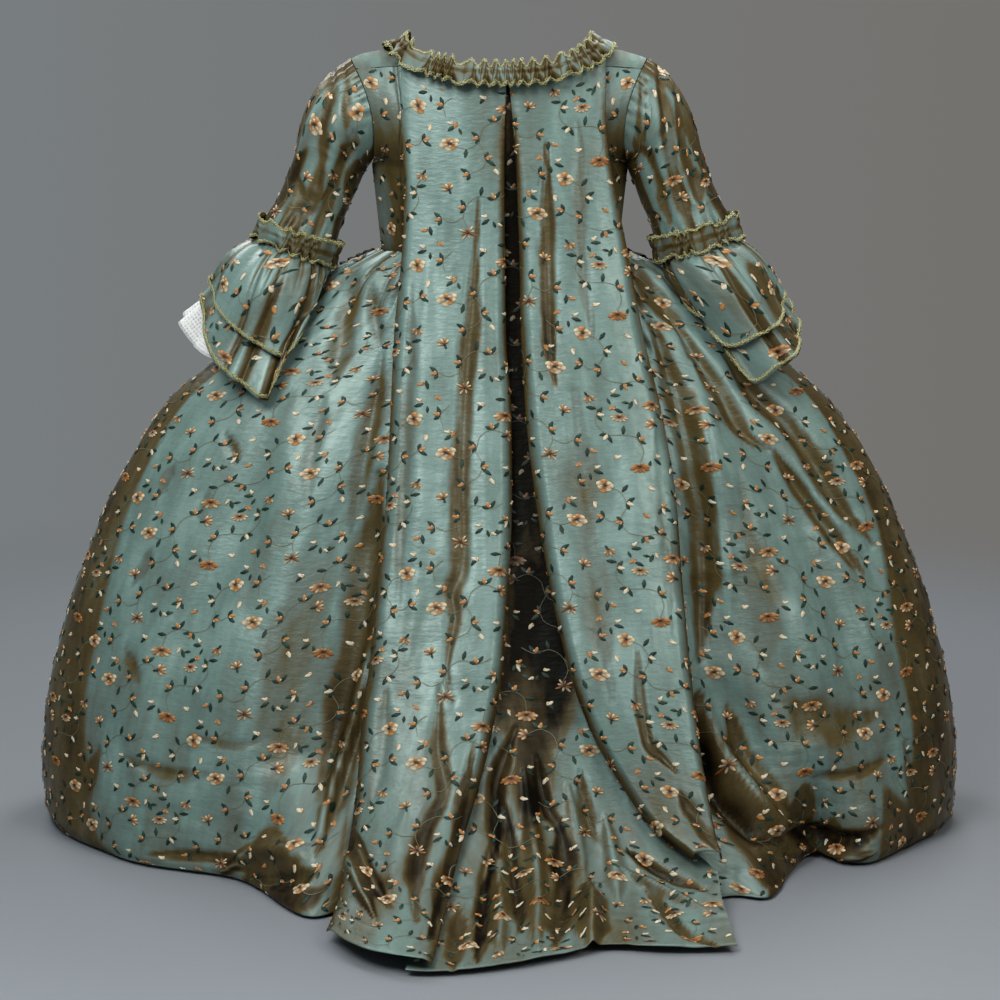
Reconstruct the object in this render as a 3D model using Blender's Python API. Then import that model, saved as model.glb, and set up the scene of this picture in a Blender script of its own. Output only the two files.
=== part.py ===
"""Robe a la francaise in shot silk, worn over side hoops, with a loose pleated back and a train.

Frame: metres, +Z up, the wearer's left on +X, the front towards -Y. The origin is the middle of the shoulder line,
where the wearer carries the gown. Heights called h are over the floor, which lies at FLOOR_Z.
Every piece of cloth is a wall: a surface worked out from its sections, and the same surface moved in by the
cloth's thickness.
"""
import math

import bpy
import numpy as np

# ---------------------------------------------------------------- sizes, in metres
FLOOR_Z = -1.38          # the floor, below the shoulder line where the wearer holds the gown
WALL = 0.0020            # thickness of the silk with its seam turnings
GAP = 0.0004             # clear gap left at seams
WAIST_H = 1.008          # height of the waist seam over the floor

# Skirt and petticoat sections from the waist (v = 0) to the hem (v = 1): half width at the side, depth of the
# back and of the front, and the height of each over the floor.
SKIRT_COLUMNS = ("v", "w", "hs", "b", "hb", "f", "hf")
SKIRT = (
    (0.00, 0.209, 1.008, 0.116, 1.008, 0.118, 1.004),
    (0.04, 0.284, 0.974, 0.124, 0.970, 0.152, 0.965),
    (0.10, 0.342, 0.922, 0.136, 0.915, 0.182, 0.910),
    (0.20, 0.476, 0.833, 0.158, 0.825, 0.222, 0.820),
    (0.30, 0.582, 0.745, 0.188, 0.735, 0.258, 0.730),
    (0.40, 0.644, 0.656, 0.222, 0.645, 0.292, 0.640),
    (0.50, 0.692, 0.567, 0.250, 0.555, 0.322, 0.550),
    (0.60, 0.730, 0.477, 0.286, 0.462, 0.350, 0.460),
    (0.70, 0.762, 0.387, 0.322, 0.365, 0.374, 0.365),
    (0.80, 0.788, 0.290, 0.362, 0.262, 0.396, 0.265),
    (0.88, 0.808, 0.190, 0.402, 0.160, 0.412, 0.165),
    (0.94, 0.816, 0.098, 0.434, 0.072, 0.422, 0.078),
    (0.98, 0.812, 0.026, 0.458, 0.015, 0.428, 0.016),
    (1.00, 0.800, 0.0035, 0.464, 0.0035, 0.430, 0.0035),
)

# The sack back: height and depth of the inner cloth, how far the pleats stand off it, the edges of both
# pleats, and how much the sheet curves forward at its edges.
SACK_COLUMNS = ("v", "h", "y", "lift", "xil", "xol", "xir", "xor", "bow")
SACK = (
    (0.00, 1.298, 0.112, 0.008, -0.0110, 0.167, -0.0150, -0.178, 0.024),
    (0.05, 1.225, 0.121, 0.008, -0.0085, 0.166, -0.0215, -0.178, 0.016),
    (0.11, 1.130, 0.128, 0.014, -0.0075, 0.161, -0.0280, -0.192, 0.013),
    (0.18, 1.020, 0.136, 0.022, -0.0080, 0.165, -0.0320, -0.214, 0.014),
    (0.27, 0.880, 0.160, 0.032, -0.0100, 0.178, -0.0350, -0.240, 0.012),
    (0.36, 0.740, 0.198, 0.038, -0.0190, 0.184, -0.0430, -0.272, 0.012),
    (0.45, 0.600, 0.246, 0.042, -0.0200, 0.190, -0.0600, -0.294, 0.012),
    (0.54, 0.460, 0.302, 0.044, -0.0130, 0.204, -0.0840, -0.303, 0.014),
    (0.62, 0.350, 0.356, 0.044, -0.0050, 0.214, -0.1100, -0.312, 0.018),
    (0.70, 0.250, 0.414, 0.042, 0.0120, 0.226, -0.1460, -0.322, 0.020),
    (0.77, 0.165, 0.476, 0.038, 0.0360, 0.232, -0.1960, -0.334, 0.022),
    (0.83, 0.098, 0.542, 0.034, 0.0600, 0.240, -0.2500, -0.346, 0.024),
    (0.89, 0.052, 0.624, 0.030, 0.0760, 0.248, -0.3180, -0.356, 0.024),
    (0.94, 0.026, 0.714, 0.024, 0.0880, 0.254, -0.3300, -0.362, 0.024),
    (0.98, 0.015, 0.800, 0.018, 0.0960, 0.262, -0.3350, -0.362, 0.024),
    (1.00, 0.012, 0.846, 0.016, 0.1000, 0.266, -0.3380, -0.362, 0.024),
)
# How far the end of the train falls short of its longest point across its width.
TRAIN_END_COLUMNS = ("x", "short")
TRAIN_END = (
    (-0.42, 0.12), (-0.36, 0.070), (-0.26, 0.075), (-0.17, 0.095), (-0.10, 0.060), (-0.03, 0.025),
    (0.04, 0.000), (0.12, -0.015), (0.19, 0.005), (0.23, 0.045), (0.27, 0.120), (0.34, 0.240),
)
PLEAT_RIGHT_END = 0.875  # where the right pleat runs out into the train

# Sleeve sections from the armhole to the elbow: centre, slope of the arm in degrees below level, and the
# radii along and across.
SLEEVE_COLUMNS = ("s", "cx", "cy", "ch", "tilt", "r1", "r2")
SLEEVE_LEFT = (
    (0.00, 0.238, 0.004, 1.250, 12, 0.088, 0.070),
    (0.18, 0.266, 0.005, 1.228, 30, 0.081, 0.071),
    (0.36, 0.283, 0.006, 1.196, 50, 0.071, 0.067),
    (0.56, 0.298, 0.008, 1.148, 65, 0.062, 0.062),
    (0.78, 0.322, 0.012, 1.090, 70, 0.060, 0.060),
    (1.00, 0.350, 0.018, 1.028, 70, 0.065, 0.063),
)
SLEEVE_RIGHT = (
    (0.00, 0.234, 0.004, 1.250, 12, 0.088, 0.070),
    (0.18, 0.260, 0.005, 1.228, 30, 0.080, 0.071),
    (0.36, 0.276, 0.006, 1.196, 50, 0.071, 0.067),
    (0.56, 0.290, 0.008, 1.148, 67, 0.064, 0.063),
    (0.78, 0.312, 0.012, 1.092, 73, 0.063, 0.061),
    (1.00, 0.338, 0.018, 1.034, 74, 0.067, 0.064),
)

# Elbow flounces: round the arm from the outer side (0) by the back (90) and the inner side (180) to the
# front (270), how far the lower flounce's hem lies from its gathered edge, outwards, backwards and down, and
# the lengths of the upper flounce and of the white under-ruffle beside it.
FLOUNCE_COLUMNS = ("a", "o", "b", "d", "upper", "cuff")
FLOUNCE_LEFT = (
    (0, 0.102, -0.010, 0.116, 0.73, 1.40),
    (45, 0.096, 0.045, 0.186, 0.68, 1.02),
    (90, 0.084, 0.070, 0.212, 0.72, 0.84),
    (135, 0.070, 0.060, 0.215, 0.75, 0.60),
    (180, 0.040, 0.008, 0.058, 0.80, 0.62),
    (225, 0.040, -0.020, 0.046, 0.80, 0.90),
    (270, 0.056, -0.050, 0.055, 0.80, 1.00),
    (315, 0.096, -0.050, 0.088, 0.74, 1.36),
)
FLOUNCE_RIGHT = (
    (0, 0.112, -0.010, 0.142, 0.66, 0.92),
    (45, 0.128, 0.045, 0.178, 0.72, 0.90),
    (90, 0.130, 0.070, 0.190, 0.76, 0.78),
    (135, 0.116, 0.058, 0.200, 0.76, 0.60),
    (180, 0.052, 0.008, 0.050, 0.80, 0.62),
    (225, 0.042, -0.020, 0.046, 0.80, 0.90),
    (270, 0.056, -0.050, 0.055, 0.80, 0.90),
    (315, 0.094, -0.045, 0.090, 0.72, 0.90),
)

# Neckline from the centre back (t = 0) over the shoulder (t = 1): the middle line of the ruffle, and the
# half width of the ruffle, inwards and upwards.
NECK_COLUMNS = ("t", "x", "y", "h", "ix", "iy", "ih")
NECK = (
    (0.00, 0.000, 0.130, 1.304, 0.000, -0.010, 0.018),
    (0.25, 0.062, 0.127, 1.307, -0.002, -0.010, 0.018),
    (0.50, 0.122, 0.116, 1.322, -0.008, -0.008, 0.016),
    (0.66, 0.157, 0.094, 1.340, -0.014, -0.006, 0.014),
    (0.80, 0.173, 0.054, 1.358, -0.018, -0.002, 0.011),
    (0.90, 0.176, 0.000, 1.359, -0.019, 0.000, 0.008),
    (1.00, 0.168, -0.052, 1.336, -0.018, -0.001, 0.006),
)
# Front edge of the gown's bodice from the shoulder to the waist, where the ruffle goes on down.
EDGE_COLUMNS = ("t", "x", "y", "h")
EDGE = (
    (0.00, 0.172, -0.012, 1.346),
    (0.20, 0.158, -0.070, 1.306),
    (0.45, 0.142, -0.116, 1.225),
    (0.70, 0.122, -0.136, 1.130),
    (1.00, 0.090, -0.1165, 1.0118),
)


def column(table, names, name):
    return np.array([row[names.index(name)] for row in table], float)


def smooth_curve(xs, ys, x):
    """A curve through the table's points that never overshoots them."""
    x = np.clip(np.asarray(x, float), xs[0], xs[-1])
    h = np.diff(xs)
    d = np.diff(ys) / h
    m = np.zeros(len(xs))
    m[0], m[-1] = d[0], d[-1]
    for i in range(1, len(xs) - 1):
        if d[i - 1] * d[i] > 0:
            w1, w2 = 2 * h[i] + h[i - 1], h[i] + 2 * h[i - 1]
            m[i] = (w1 + w2) / (w1 / d[i - 1] + w2 / d[i])
    i = np.clip(np.searchsorted(xs, x, side="right") - 1, 0, len(h) - 1)
    t = (x - xs[i]) / h[i]
    return (
        (2 * t**3 - 3 * t**2 + 1) * ys[i] + (t**3 - 2 * t**2 + t) * h[i] * m[i]
        + (-2 * t**3 + 3 * t**2) * ys[i + 1] + (t**3 - t**2) * h[i] * m[i + 1]
    )


def read(table, names, name, x):
    return smooth_curve(column(table, names, names[0]), column(table, names, name), x)


def read_round(table, names, name, a):
    """The same for a table that goes once round an arm, in degrees."""
    xs, ys = column(table, names, names[0]), column(table, names, name)
    n = len(xs)
    i = np.floor((np.asarray(a, float) % 360) / (360 / n)).astype(int) % n
    t = (np.asarray(a, float) % 360) / (360 / n) - i
    p0, p1, p2, p3 = ys[(i - 1) % n], ys[i], ys[(i + 1) % n], ys[(i + 2) % n]
    return 0.5 * (2 * p1 + (p2 - p0) * t + (2 * p0 - 5 * p1 + 4 * p2 - p3) * t**2 + (3 * p1 - p0 - 3 * p2 + p3) * t**3)


def ease(t):
    t = np.clip(t, 0.0, 1.0)
    return t * t * (3 - 2 * t)


def bump(x, centre, width):
    return np.exp(-(((x - centre) / width) ** 2))


def stack(x, y, h):
    x, y, h = np.broadcast_arrays(x, y, h)
    return np.stack([x, y, h + FLOOR_Z], axis=-1)


def normals(surface, u, v, step=2e-4):
    """Unit normals of a surface, from small steps along it."""
    du = surface(u + step, v) - surface(u - step, v)
    dv = surface(u, v + step) - surface(u, v - step)
    n = np.cross(du, dv)
    return n / np.maximum(np.linalg.norm(n, axis=-1, keepdims=True), 1e-12)


# ---------------------------------------------------------------- skirt over the side hoops
def skirt_point(side, angle, v, inside=0.0):
    """angle runs from the centre back (0) by the side (90 degrees) to the centre front (180 degrees)."""
    v = np.clip(v, 0, 1)
    w = read(SKIRT, SKIRT_COLUMNS, "w", v) - inside
    b = read(SKIRT, SKIRT_COLUMNS, "b", v) - inside
    f = read(SKIRT, SKIRT_COLUMNS, "f", v) - inside
    hs, hb, hf = (read(SKIRT, SKIRT_COLUMNS, k, v) for k in ("hs", "hb", "hf"))
    s, c = np.sin(angle), np.cos(angle)
    x = w * np.sign(s) * np.abs(s) ** 0.97
    y = np.where(c >= 0, b * np.abs(c) ** 0.97, -f * np.abs(c) ** 0.97)
    h = hs * s**2 + np.where(c >= 0, hb, hf) * c**2
    return x * side, y, h


# The skirt's largest folds, each at x over a run of rows: how deep (towards the front) or proud, and half width.
FOLD_COLUMNS = ("x0", "x1", "v0", "v1", "depth", "width")
FOLDS_LEFT = (
    (0.215, 0.320, 0.30, 1.02, -0.016, 0.034),
    (0.260, 0.455, 0.18, 0.95, 0.010, 0.050),
    (0.330, 0.620, 0.22, 0.98, -0.010, 0.040),
)
FOLDS_RIGHT = (
    (0.300, 0.372, 0.34, 0.90, -0.014, 0.030),
    (0.290, 0.520, 0.16, 0.80, 0.010, 0.045),
    (0.350, 0.520, 0.72, 1.05, -0.030, 0.036),
    (0.420, 0.700, 0.26, 1.02, -0.012, 0.036),
)


def large_folds(side, x, v):
    total = 0.0
    for x0, x1, v0, v1, depth, width in FOLDS_LEFT if side > 0 else FOLDS_RIGHT:
        k = (v - v0) / (v1 - v0)
        total = total + depth * bump(x, x0 + (x1 - x0) * k, width) * ease(k / 0.35) * ease((1 - k) / 0.25)
    return total


def hem_reach(side, x, v):
    """The skirt's lobes on the floor beside the train."""
    low = ease((v - 0.85) / 0.15)
    if side > 0:
        reach = 0.165 * bump(x, 0.300, 0.085) + 0.012 * bump(x, 0.60, 0.05)
    else:
        reach = 0.100 * bump(x, 0.435, 0.050) + 0.090 * bump(x, 0.33, 0.07) - 0.085 * bump(x, 0.535, 0.040) + 0.02 * bump(x, 0.63, 0.05)
    return reach * low


def pleat_edge(side, v):
    """x of the outer edge of the sack's pleat at the skirt's row v."""
    h = read(SKIRT, SKIRT_COLUMNS, "hb", v)
    hs = column(SACK, SACK_COLUMNS, "h")
    xs = column(SACK, SACK_COLUMNS, "xol" if side > 0 else "xor") * side
    return smooth_curve(hs[::-1], xs[::-1], h)


def skirt_back(side, u, v, tuck=0.050):
    """From under the pleat (u = 0) to the side seam (u = 1)."""
    w = read(SKIRT, SKIRT_COLUMNS, "w", v)
    start = np.arcsin(np.clip((pleat_edge(side, v) - tuck) / w, 0.05, 0.95) ** (1 / 0.97))
    angle = start + (math.radians(97) - start) * u
    x, y, h = skirt_point(side, angle, v)
    y = y + hem_reach(side, np.abs(x), v) + large_folds(side, np.abs(x), v) * ease((y + 0.02) / 0.12)
    return stack(x, y, h)


def skirt_front(side, u, v):
    """From the side seam (u = 0) to the front edge (u = 1)."""
    w = read(SKIRT, SKIRT_COLUMNS, "w", v)
    edge = 0.090 + 0.170 * v
    end = math.pi - np.arcsin((edge / w) ** (1 / 0.97))
    angle = math.radians(97) + (end - math.radians(97)) * u
    return stack(*skirt_point(side, angle, v))


def petticoat(side, u, v):
    """The petticoat's front, from left (u = 0) to right (u = 1), under both front edges."""
    w = read(SKIRT, SKIRT_COLUMNS, "w", v) - 0.012
    half = np.arcsin(np.clip((0.090 + 0.170 * v + 0.060) / w, 0, 1) ** (1 / 0.97))
    angle = math.pi - half + 2 * half * u
    return stack(*skirt_point(1, angle, np.maximum(v, 0.005), 0.012))


# ---------------------------------------------------------------- the sack back
def sack_point(x, v, lift):
    """The loose back, from the neckline (v = 0) to the end of the train (v = 1), lifted off its inner cloth."""
    v = np.clip(v, 0, 1)
    h0, y0 = read(SACK, SACK_COLUMNS, "h", v), read(SACK, SACK_COLUMNS, "y", v)
    e = 4e-3
    dy = read(SACK, SACK_COLUMNS, "y", v + e) - read(SACK, SACK_COLUMNS, "y", v - e)
    dh = read(SACK, SACK_COLUMNS, "h", v + e) - read(SACK, SACK_COLUMNS, "h", v - e)
    n = np.maximum(np.hypot(dy, dh), 1e-9)
    ny, nh = -dh / n, dy / n
    short = smooth_curve(column(TRAIN_END, TRAIN_END_COLUMNS, "x"), column(TRAIN_END, TRAIN_END_COLUMNS, "short"), x)
    edge = np.where(x > 0, read(SACK, SACK_COLUMNS, "xol", v), -read(SACK, SACK_COLUMNS, "xor", v))
    y = y0 - read(SACK, SACK_COLUMNS, "bow", v) * (x / edge) ** 2 - short * ease((v - 0.62) / 0.38)
    h = h0 + 0.030 * np.clip(np.abs(x) / 0.17, 0, 1.05) ** 3 * ease(1 - v / 0.10)
    return x, y + ny * lift, h + nh * lift


def pleat_rows(side, v):
    a, b = ("xil", "xol") if side > 0 else ("xir", "xor")
    v = v if side > 0 else v * PLEAT_RIGHT_END
    return v, read(SACK, SACK_COLUMNS, a, v), read(SACK, SACK_COLUMNS, b, v)


def back_pleat(side, u, v):
    """One pleat, from its inner edge (u = 0) to its outer edge (u = 1). Both edges turn under."""
    v, inner, outer = pleat_rows(side, v)
    lift = read(SACK, SACK_COLUMNS, "lift", v)
    s = np.clip(u, 0, 1)
    edge = np.maximum(0, 1 - s / 0.14) ** 2 + np.maximum(0, (s - 0.86) / 0.14) ** 2
    crown = (1 - (2 * s - 1) ** 2) * 0.006
    x = inner + (outer - inner) * u
    return stack(*sack_point(x, v, lift + crown * ease(v / 0.2) - 0.62 * lift * edge))


def back_inset(side, u, v):
    """The cloth between and under the pleats, from left (u = 0) to right (u = 1)."""
    left = read(SACK, SACK_COLUMNS, "xil", v) + 0.040
    right = read(SACK, SACK_COLUMNS, "xir", v) - 0.040 * ease((0.93 - v) / 0.08) - 0.022 * ease((v - 0.85) / 0.08)
    x = left + (right - left) * u
    return stack(*sack_point(x, v, -0.004 * ease((v - 0.02) / 0.1) * ease((0.95 - v) / 0.1)))


# ---------------------------------------------------------------- sleeves
def sleeve_table(side):
    return SLEEVE_LEFT if side > 0 else SLEEVE_RIGHT


def arm_frame(side, s):
    t = sleeve_table(side)
    tilt = np.radians(read(t, SLEEVE_COLUMNS, "tilt", s))
    return [read(t, SLEEVE_COLUMNS, k, s) for k in ("cx", "cy", "ch", "r1", "r2")] + [tilt]


def sleeve(side, u, v, out=0.0):
    """Round the arm (u) from the outer side by the back, and down it (v)."""
    cx, cy, ch, r1, r2, tilt = arm_frame(side, v)
    a = 2 * math.pi * u
    k = 0.018 * np.abs(np.sin(a)) ** 2 * ease(1 - v / 0.3)
    x = cx + (r1 + out) * np.cos(a) * np.sin(tilt) - k
    h = ch + (r1 + out) * np.cos(a) * np.cos(tilt)
    y = cy + (r2 + out) * np.sin(a)
    return stack(x * side, y, h)


def below_elbow(side, u, down, out):
    """A ring round the arm some way below the sleeve's end."""
    cx, cy, ch, r1, r2, tilt = arm_frame(side, np.float64(1.0))
    a = 2 * math.pi * u
    cx, ch = cx + down * np.cos(tilt), ch - down * np.sin(tilt)
    return (
        cx + (r1 + out) * np.cos(a) * np.sin(tilt), cy + (r2 + out) * np.sin(a), ch + (r1 + out) * np.cos(a) * np.cos(tilt),
    )


def elbow_band(side, u, v, out=0.0):
    """The gathered band over the end of the sleeve."""
    x, y, h = below_elbow(side, u, -0.018 + 0.040 * v, 0.0075 + 0.004 * np.sin(math.pi * v) + out)
    return stack(x * side, y, h)


def clear_of_skirt(x, y, h, clearance):
    """Moves cloth that hangs over the skirt to just outside it."""
    v = smooth_curve(column(SKIRT, SKIRT_COLUMNS, "hs")[::-1], column(SKIRT, SKIRT_COLUMNS, "v")[::-1], h)
    w = read(SKIRT, SKIRT_COLUMNS, "w", v) + clearance
    b = read(SKIRT, SKIRT_COLUMNS, "b", v) + clearance
    inside = np.sqrt(np.maximum(1 - (np.minimum(x, w) / w) ** 2, 0)) * b
    near = ease((1.005 - h) / 0.05) * ease((w - x) / 0.015)
    soft = 0.010
    return y + near * (0.5 * (y + inside + np.sqrt((y - inside) ** 2 + soft**2)) - y)


def flounce_sheet(side, u, v):
    """The sheet that the flounces follow, from under the band (v = 0) to the lower hem (v = 1) and a little past it."""
    a = 360.0 * u
    table = FLOUNCE_LEFT if side > 0 else FLOUNCE_RIGHT
    o, b, d = (read_round(table, FLOUNCE_COLUMNS, k, a) for k in ("o", "b", "d"))
    x, y, h = below_elbow(side, u, 0.022, -0.0065)
    v = np.maximum(v, -0.01)
    power = 1.15 - 0.25 * np.cos(np.radians(a))
    x = x + o * ((v + 0.02) ** 1.15 - 0.02**1.15)
    h = h - d * ((v + 0.02) ** power - 0.02**power)
    y = y + b * ((v + 0.02) ** 1.15 - 0.02**1.15)
    puff = (0.0115 + 0.0020 * side + 0.010 * np.cos(np.radians(a - 50))) * np.maximum(np.sin(math.pi * np.clip(v / 0.74, 0, 1) ** 0.62), 0) ** 1.5
    tilt = arm_frame(side, np.float64(1.0))[-1]
    x = x + puff * np.cos(np.radians(a)) * np.sin(tilt)
    y = y + puff * np.sin(np.radians(a))
    h = h + puff * np.cos(np.radians(a)) * np.cos(tilt)
    back = ease((0.57 - (u % 1)) / 0.14)
    y = y + (clear_of_skirt(x, y, h, 0.034) - y) * back * ease(v / 0.2)
    return stack(x * side, y, h)


def flounce(side, u, v, layer):
    """A gathered flounce from under the band (v = 0) to its hem (v = 1), longest at the back of the elbow."""
    table = FLOUNCE_LEFT if side > 0 else FLOUNCE_RIGHT
    if layer == "lower":
        return flounce_sheet(side, u, v)
    reach = v * read_round(table, FLOUNCE_COLUMNS, layer, 360.0 * u)
    a, tilt = 2 * math.pi * u, arm_frame(side, np.float64(1.0))[-1]
    away = np.stack([side * np.cos(a) * np.sin(tilt), np.sin(a), np.cos(a) * np.cos(tilt)], axis=-1)
    off = (0.0060 + 0.0080 * ease(reach / 0.5)) * (1 if layer == "upper" else -1)
    return flounce_sheet(side, u, reach) + away * off[..., None]


# ---------------------------------------------------------------- bodice
def armhole(side, a):
    """The seam of the sleeve, a in degrees from the top by the back."""
    return sleeve(side, a / 360.0, np.zeros(np.shape(a)))


def bodice_back(side, u, v):
    """From under the pleat (u = 0) to the armhole and the side seam (u = 1), shoulder (v = 0) to waist (v = 1)."""
    arm = ease(np.clip(v / 0.56, 0, 1)) * 0.25 + 0.75 * np.clip(v / 0.56, 0, 1)
    a = armhole(side, 38 + 138 * arm)
    k = np.clip((v - 0.56) / 0.44, 0, 1)
    seam = stack(side * (0.2215 - 0.0155 * k), 0.000 * k, 1.1595 - (1.1595 - 1.0118) * k)
    outer = np.where((v <= 0.56)[..., None], a - np.array([0.0016 * side, 0, 0]), seam)
    h_in = 1.326 - (1.326 - 1.0118) * v
    inner = stack(side * (0.128 - 0.018 * v), 0.0745 + 0.018 * ease(v / 0.35) + 0.002 * ease((v - 0.45) / 0.55), h_in)
    p = inner + (outer - inner) * u[..., None]
    fall = 0.006 + 0.018 * ease(v / 0.6)
    p[..., 1] += fall * 4 * u * (1 - u)
    return p


def edge_point(side, t):
    return stack(side * read(EDGE, EDGE_COLUMNS, "x", t), read(EDGE, EDGE_COLUMNS, "y", t), read(EDGE, EDGE_COLUMNS, "h", t))


def bodice_front(side, u, v):
    """From the front edge (u = 0) to the armhole and the side seam (u = 1), shoulder (v = 0) to waist (v = 1)."""
    arm = np.clip(v / 0.56, 0, 1)
    a = armhole(side, 322 - 138 * arm)
    k = np.clip((v - 0.56) / 0.44, 0, 1)
    seam = stack(side * (0.2215 - 0.0155 * k), -0.0035 + 0.000 * k, 1.1595 - (1.1595 - 1.0118) * k)
    outer = np.where((v <= 0.56)[..., None], a - np.array([0.0016 * side, 0, 0]), seam)
    inner = edge_point(side, 0.16 + 0.84 * v)
    p = inner + (outer - inner) * u[..., None]
    p[..., 1] -= (0.006 + 0.030 * ease(v / 0.6)) * 4 * u * (1 - u)
    return p


def shoulder_strap(side, u, v):
    """From the neckline (u = 0) to the armhole (u = 1), back seam (v = 0) over the shoulder to the front seam (v = 1)."""
    a = armhole(side, 36.5 - 73 * v) - np.array([0.0016 * side, 0, 0])
    back = stack(side * 0.1665, 0.0705, 1.3245)
    front = edge_point(side, np.float64(0.145))
    top = stack(side * 0.1720, 0.004, 1.3500)
    k = v[..., None]
    inner = back * (1 - k) * (1 - 2 * k) + 4 * k * (1 - k) * top + front * k * (2 * k - 1)
    p = inner + (a - inner) * u[..., None]
    p[..., 2] += 0.006 * 4 * u * (1 - u) * 4 * v * (1 - v)
    return p


def stomacher(side, u, v):
    """The stiff front between and under the gown's front edges, left (u = 0) to right (u = 1), top to waist."""
    t = 0.540 + 0.460 * v
    x = read(EDGE, EDGE_COLUMNS, "x", t) + 0.012
    y = read(EDGE, EDGE_COLUMNS, "y", t) + 0.0070
    h = read(EDGE, EDGE_COLUMNS, "h", t)
    k = 1 - 2 * u
    return stack(x * k, y - 0.010 * (1 - k**2), h)


# ---------------------------------------------------------------- gathered trimmings
def neck_ruffle(side, u, v):
    """Along the back neckline from one shoulder (u = 0) to the other (u = 1), inner edge (v = 0) to outer edge."""
    t = 1 - 2 * u
    k = np.sign(t)
    g = {n: read(NECK, NECK_COLUMNS, n, np.abs(t)) for n in NECK_COLUMNS[1:]}
    m = 1 - 2 * v
    puff = 0.004 * (1 - m**2)
    return stack(k * (g["x"] + g["ix"] * m), g["y"] + g["iy"] * m + puff + 0.004, g["h"] + g["ih"] * m + 0.006 + puff)


def front_ruffle(side, u, v):
    """Down the front edge from the shoulder (u = 0) to the waist (u = 1), inner edge (v = 0) to outer edge."""
    across, along = 0.03 + 0.27 * v, 0.02 + 0.965 * u
    on_front = lambda p, q: bodice_front(side, p, q)
    n = normals(on_front, across, along)
    n = n * np.where(n[..., 1:2] > 0, -1.0, 1.0)
    return on_front(across, along) + n * (0.0045 + 0.004 * np.sin(math.pi * v))[..., None]


def pocket_trim(side, u, v):
    """The gathered strip along the pocket opening on top of the side hoop, near its front."""
    across, along = 0.10 + 0.17 * v, 0.010 + 0.075 * u
    on_front = lambda p, q: skirt_front(side, p, q)
    n = normals(on_front, across, along)
    n = n * np.where(n[..., 2:3] < 0, -1.0, 1.0)
    return on_front(across, along) + n * (0.0045 + 0.006 * np.sin(math.pi * v))[..., None]


# ---------------------------------------------------------------- making solids
COLOURS = {
    "silk": (0.150, 0.245, 0.205, 0.42),
    "braid": (0.560, 0.560, 0.250, 0.60),
    "lace": (0.800, 0.780, 0.720, 0.75),
}


def material(name, kind):
    m = bpy.data.materials.new(name)
    m.use_nodes = True
    shader = m.node_tree.nodes["Principled BSDF"]
    r, g, b, rough = COLOURS[kind]
    shader.inputs["Base Color"].default_value = (r, g, b, 1)
    shader.inputs["Roughness"].default_value = rough
    shader.inputs["Metallic"].default_value = 0.0
    return m


def trimmed(p, axis, gap):
    """The grid with both end rows along an axis drawn in by a gap."""
    p = np.moveaxis(p, axis, 0).copy()
    for end, beside in ((0, 1), (-1, -2)):
        d = p[beside] - p[end]
        p[end] += d * (gap / np.maximum(np.linalg.norm(d, axis=-1, keepdims=True), 1e-9))
    return np.moveaxis(p, 0, axis)


def panel(name, kind, surface, us, vs, lift=0.0, wall=WALL, round_arm=False, gap=GAP / 2):
    """A closed wall on a surface. us and vs are the stations across and along it."""
    u, v = np.meshgrid(us, vs, indexing="ij")
    p = surface(u, v)
    n = normals(surface, u, v)
    if round_arm:
        centre = p.mean(axis=0, keepdims=True)
    else:
        centre = np.zeros_like(p)
        centre[..., 2] = p[..., 2] - 0.05
    outward = np.where(((p - centre) * n).sum(-1).mean() < 0, -1.0, 1.0)
    n = n * outward
    p = trimmed(p, 1, gap)
    if not round_arm:
        p = trimmed(p, 0, gap)
    outer, inner = p + n * lift, p + n * (lift - wall)
    nu, nv = u.shape
    points = np.concatenate([outer.reshape(-1, 3), inner.reshape(-1, 3)])
    at = lambda i, j, layer: layer * nu * nv + (i % nu) * nv + j
    faces = []
    for i in range(nu if round_arm else nu - 1):
        for j in range(nv - 1):
            a, b, c, d = ((i, j), (i + 1, j), (i + 1, j + 1), (i, j + 1))
            faces += [[at(*a, 0), at(*b, 0), at(*c, 0)], [at(*a, 0), at(*c, 0), at(*d, 0)]]
            faces += [[at(*c, 1), at(*b, 1), at(*a, 1)], [at(*d, 1), at(*c, 1), at(*a, 1)]]
        for j in (0, nv - 1):
            a, b = at(i, j, 0), at(i + 1, j, 0)
            c, d = at(i + 1, j, 1), at(i, j, 1)
            faces += [[b, a, d], [b, d, c]] if j == 0 else [[a, b, c], [a, c, d]]
    if not round_arm:
        for j in range(nv - 1):
            for i in (0, nu - 1):
                a, b = at(i, j, 0), at(i, j + 1, 0)
                c, d = at(i, j + 1, 1), at(i, j, 1)
                faces += [[a, b, c], [a, c, d]] if i == 0 else [[b, a, d], [b, d, c]]
    tri = points[np.array(faces)]
    volume = np.einsum("ij,ij->i", tri[:, 0], np.cross(tri[:, 1], tri[:, 2])).sum() / 6
    if volume < 0:
        faces = [f[::-1] for f in faces]
    mesh = bpy.data.meshes.new(name)
    mesh.from_pydata(points.tolist(), [], faces)
    mesh.update()
    mesh.shade_smooth()
    mesh.set_sharp_from_angle(angle=math.radians(50))
    mesh.materials.append(material(name, kind))
    bpy.context.scene.collection.objects.link(bpy.data.objects.new(name, mesh))


def stations(n, start=0.0, end=1.0):
    return np.linspace(start, end, n)


def rounds(n):
    """n stations once round an arm, the last one not repeated."""
    return np.arange(n) / n


# Stations round a flounce, in degrees, closest where it crosses the top of the hoop.
FLOUNCE_ROUND = np.array([0, 28, 56, 82, 106, 126, 140, 150, 159, 168, 177, 188, 202, 220, 244, 272, 302, 332]) / 360.0
FLOUNCE_DOWN = np.array([0, 0.3, 0.6, 0.965, 1.0])


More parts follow.
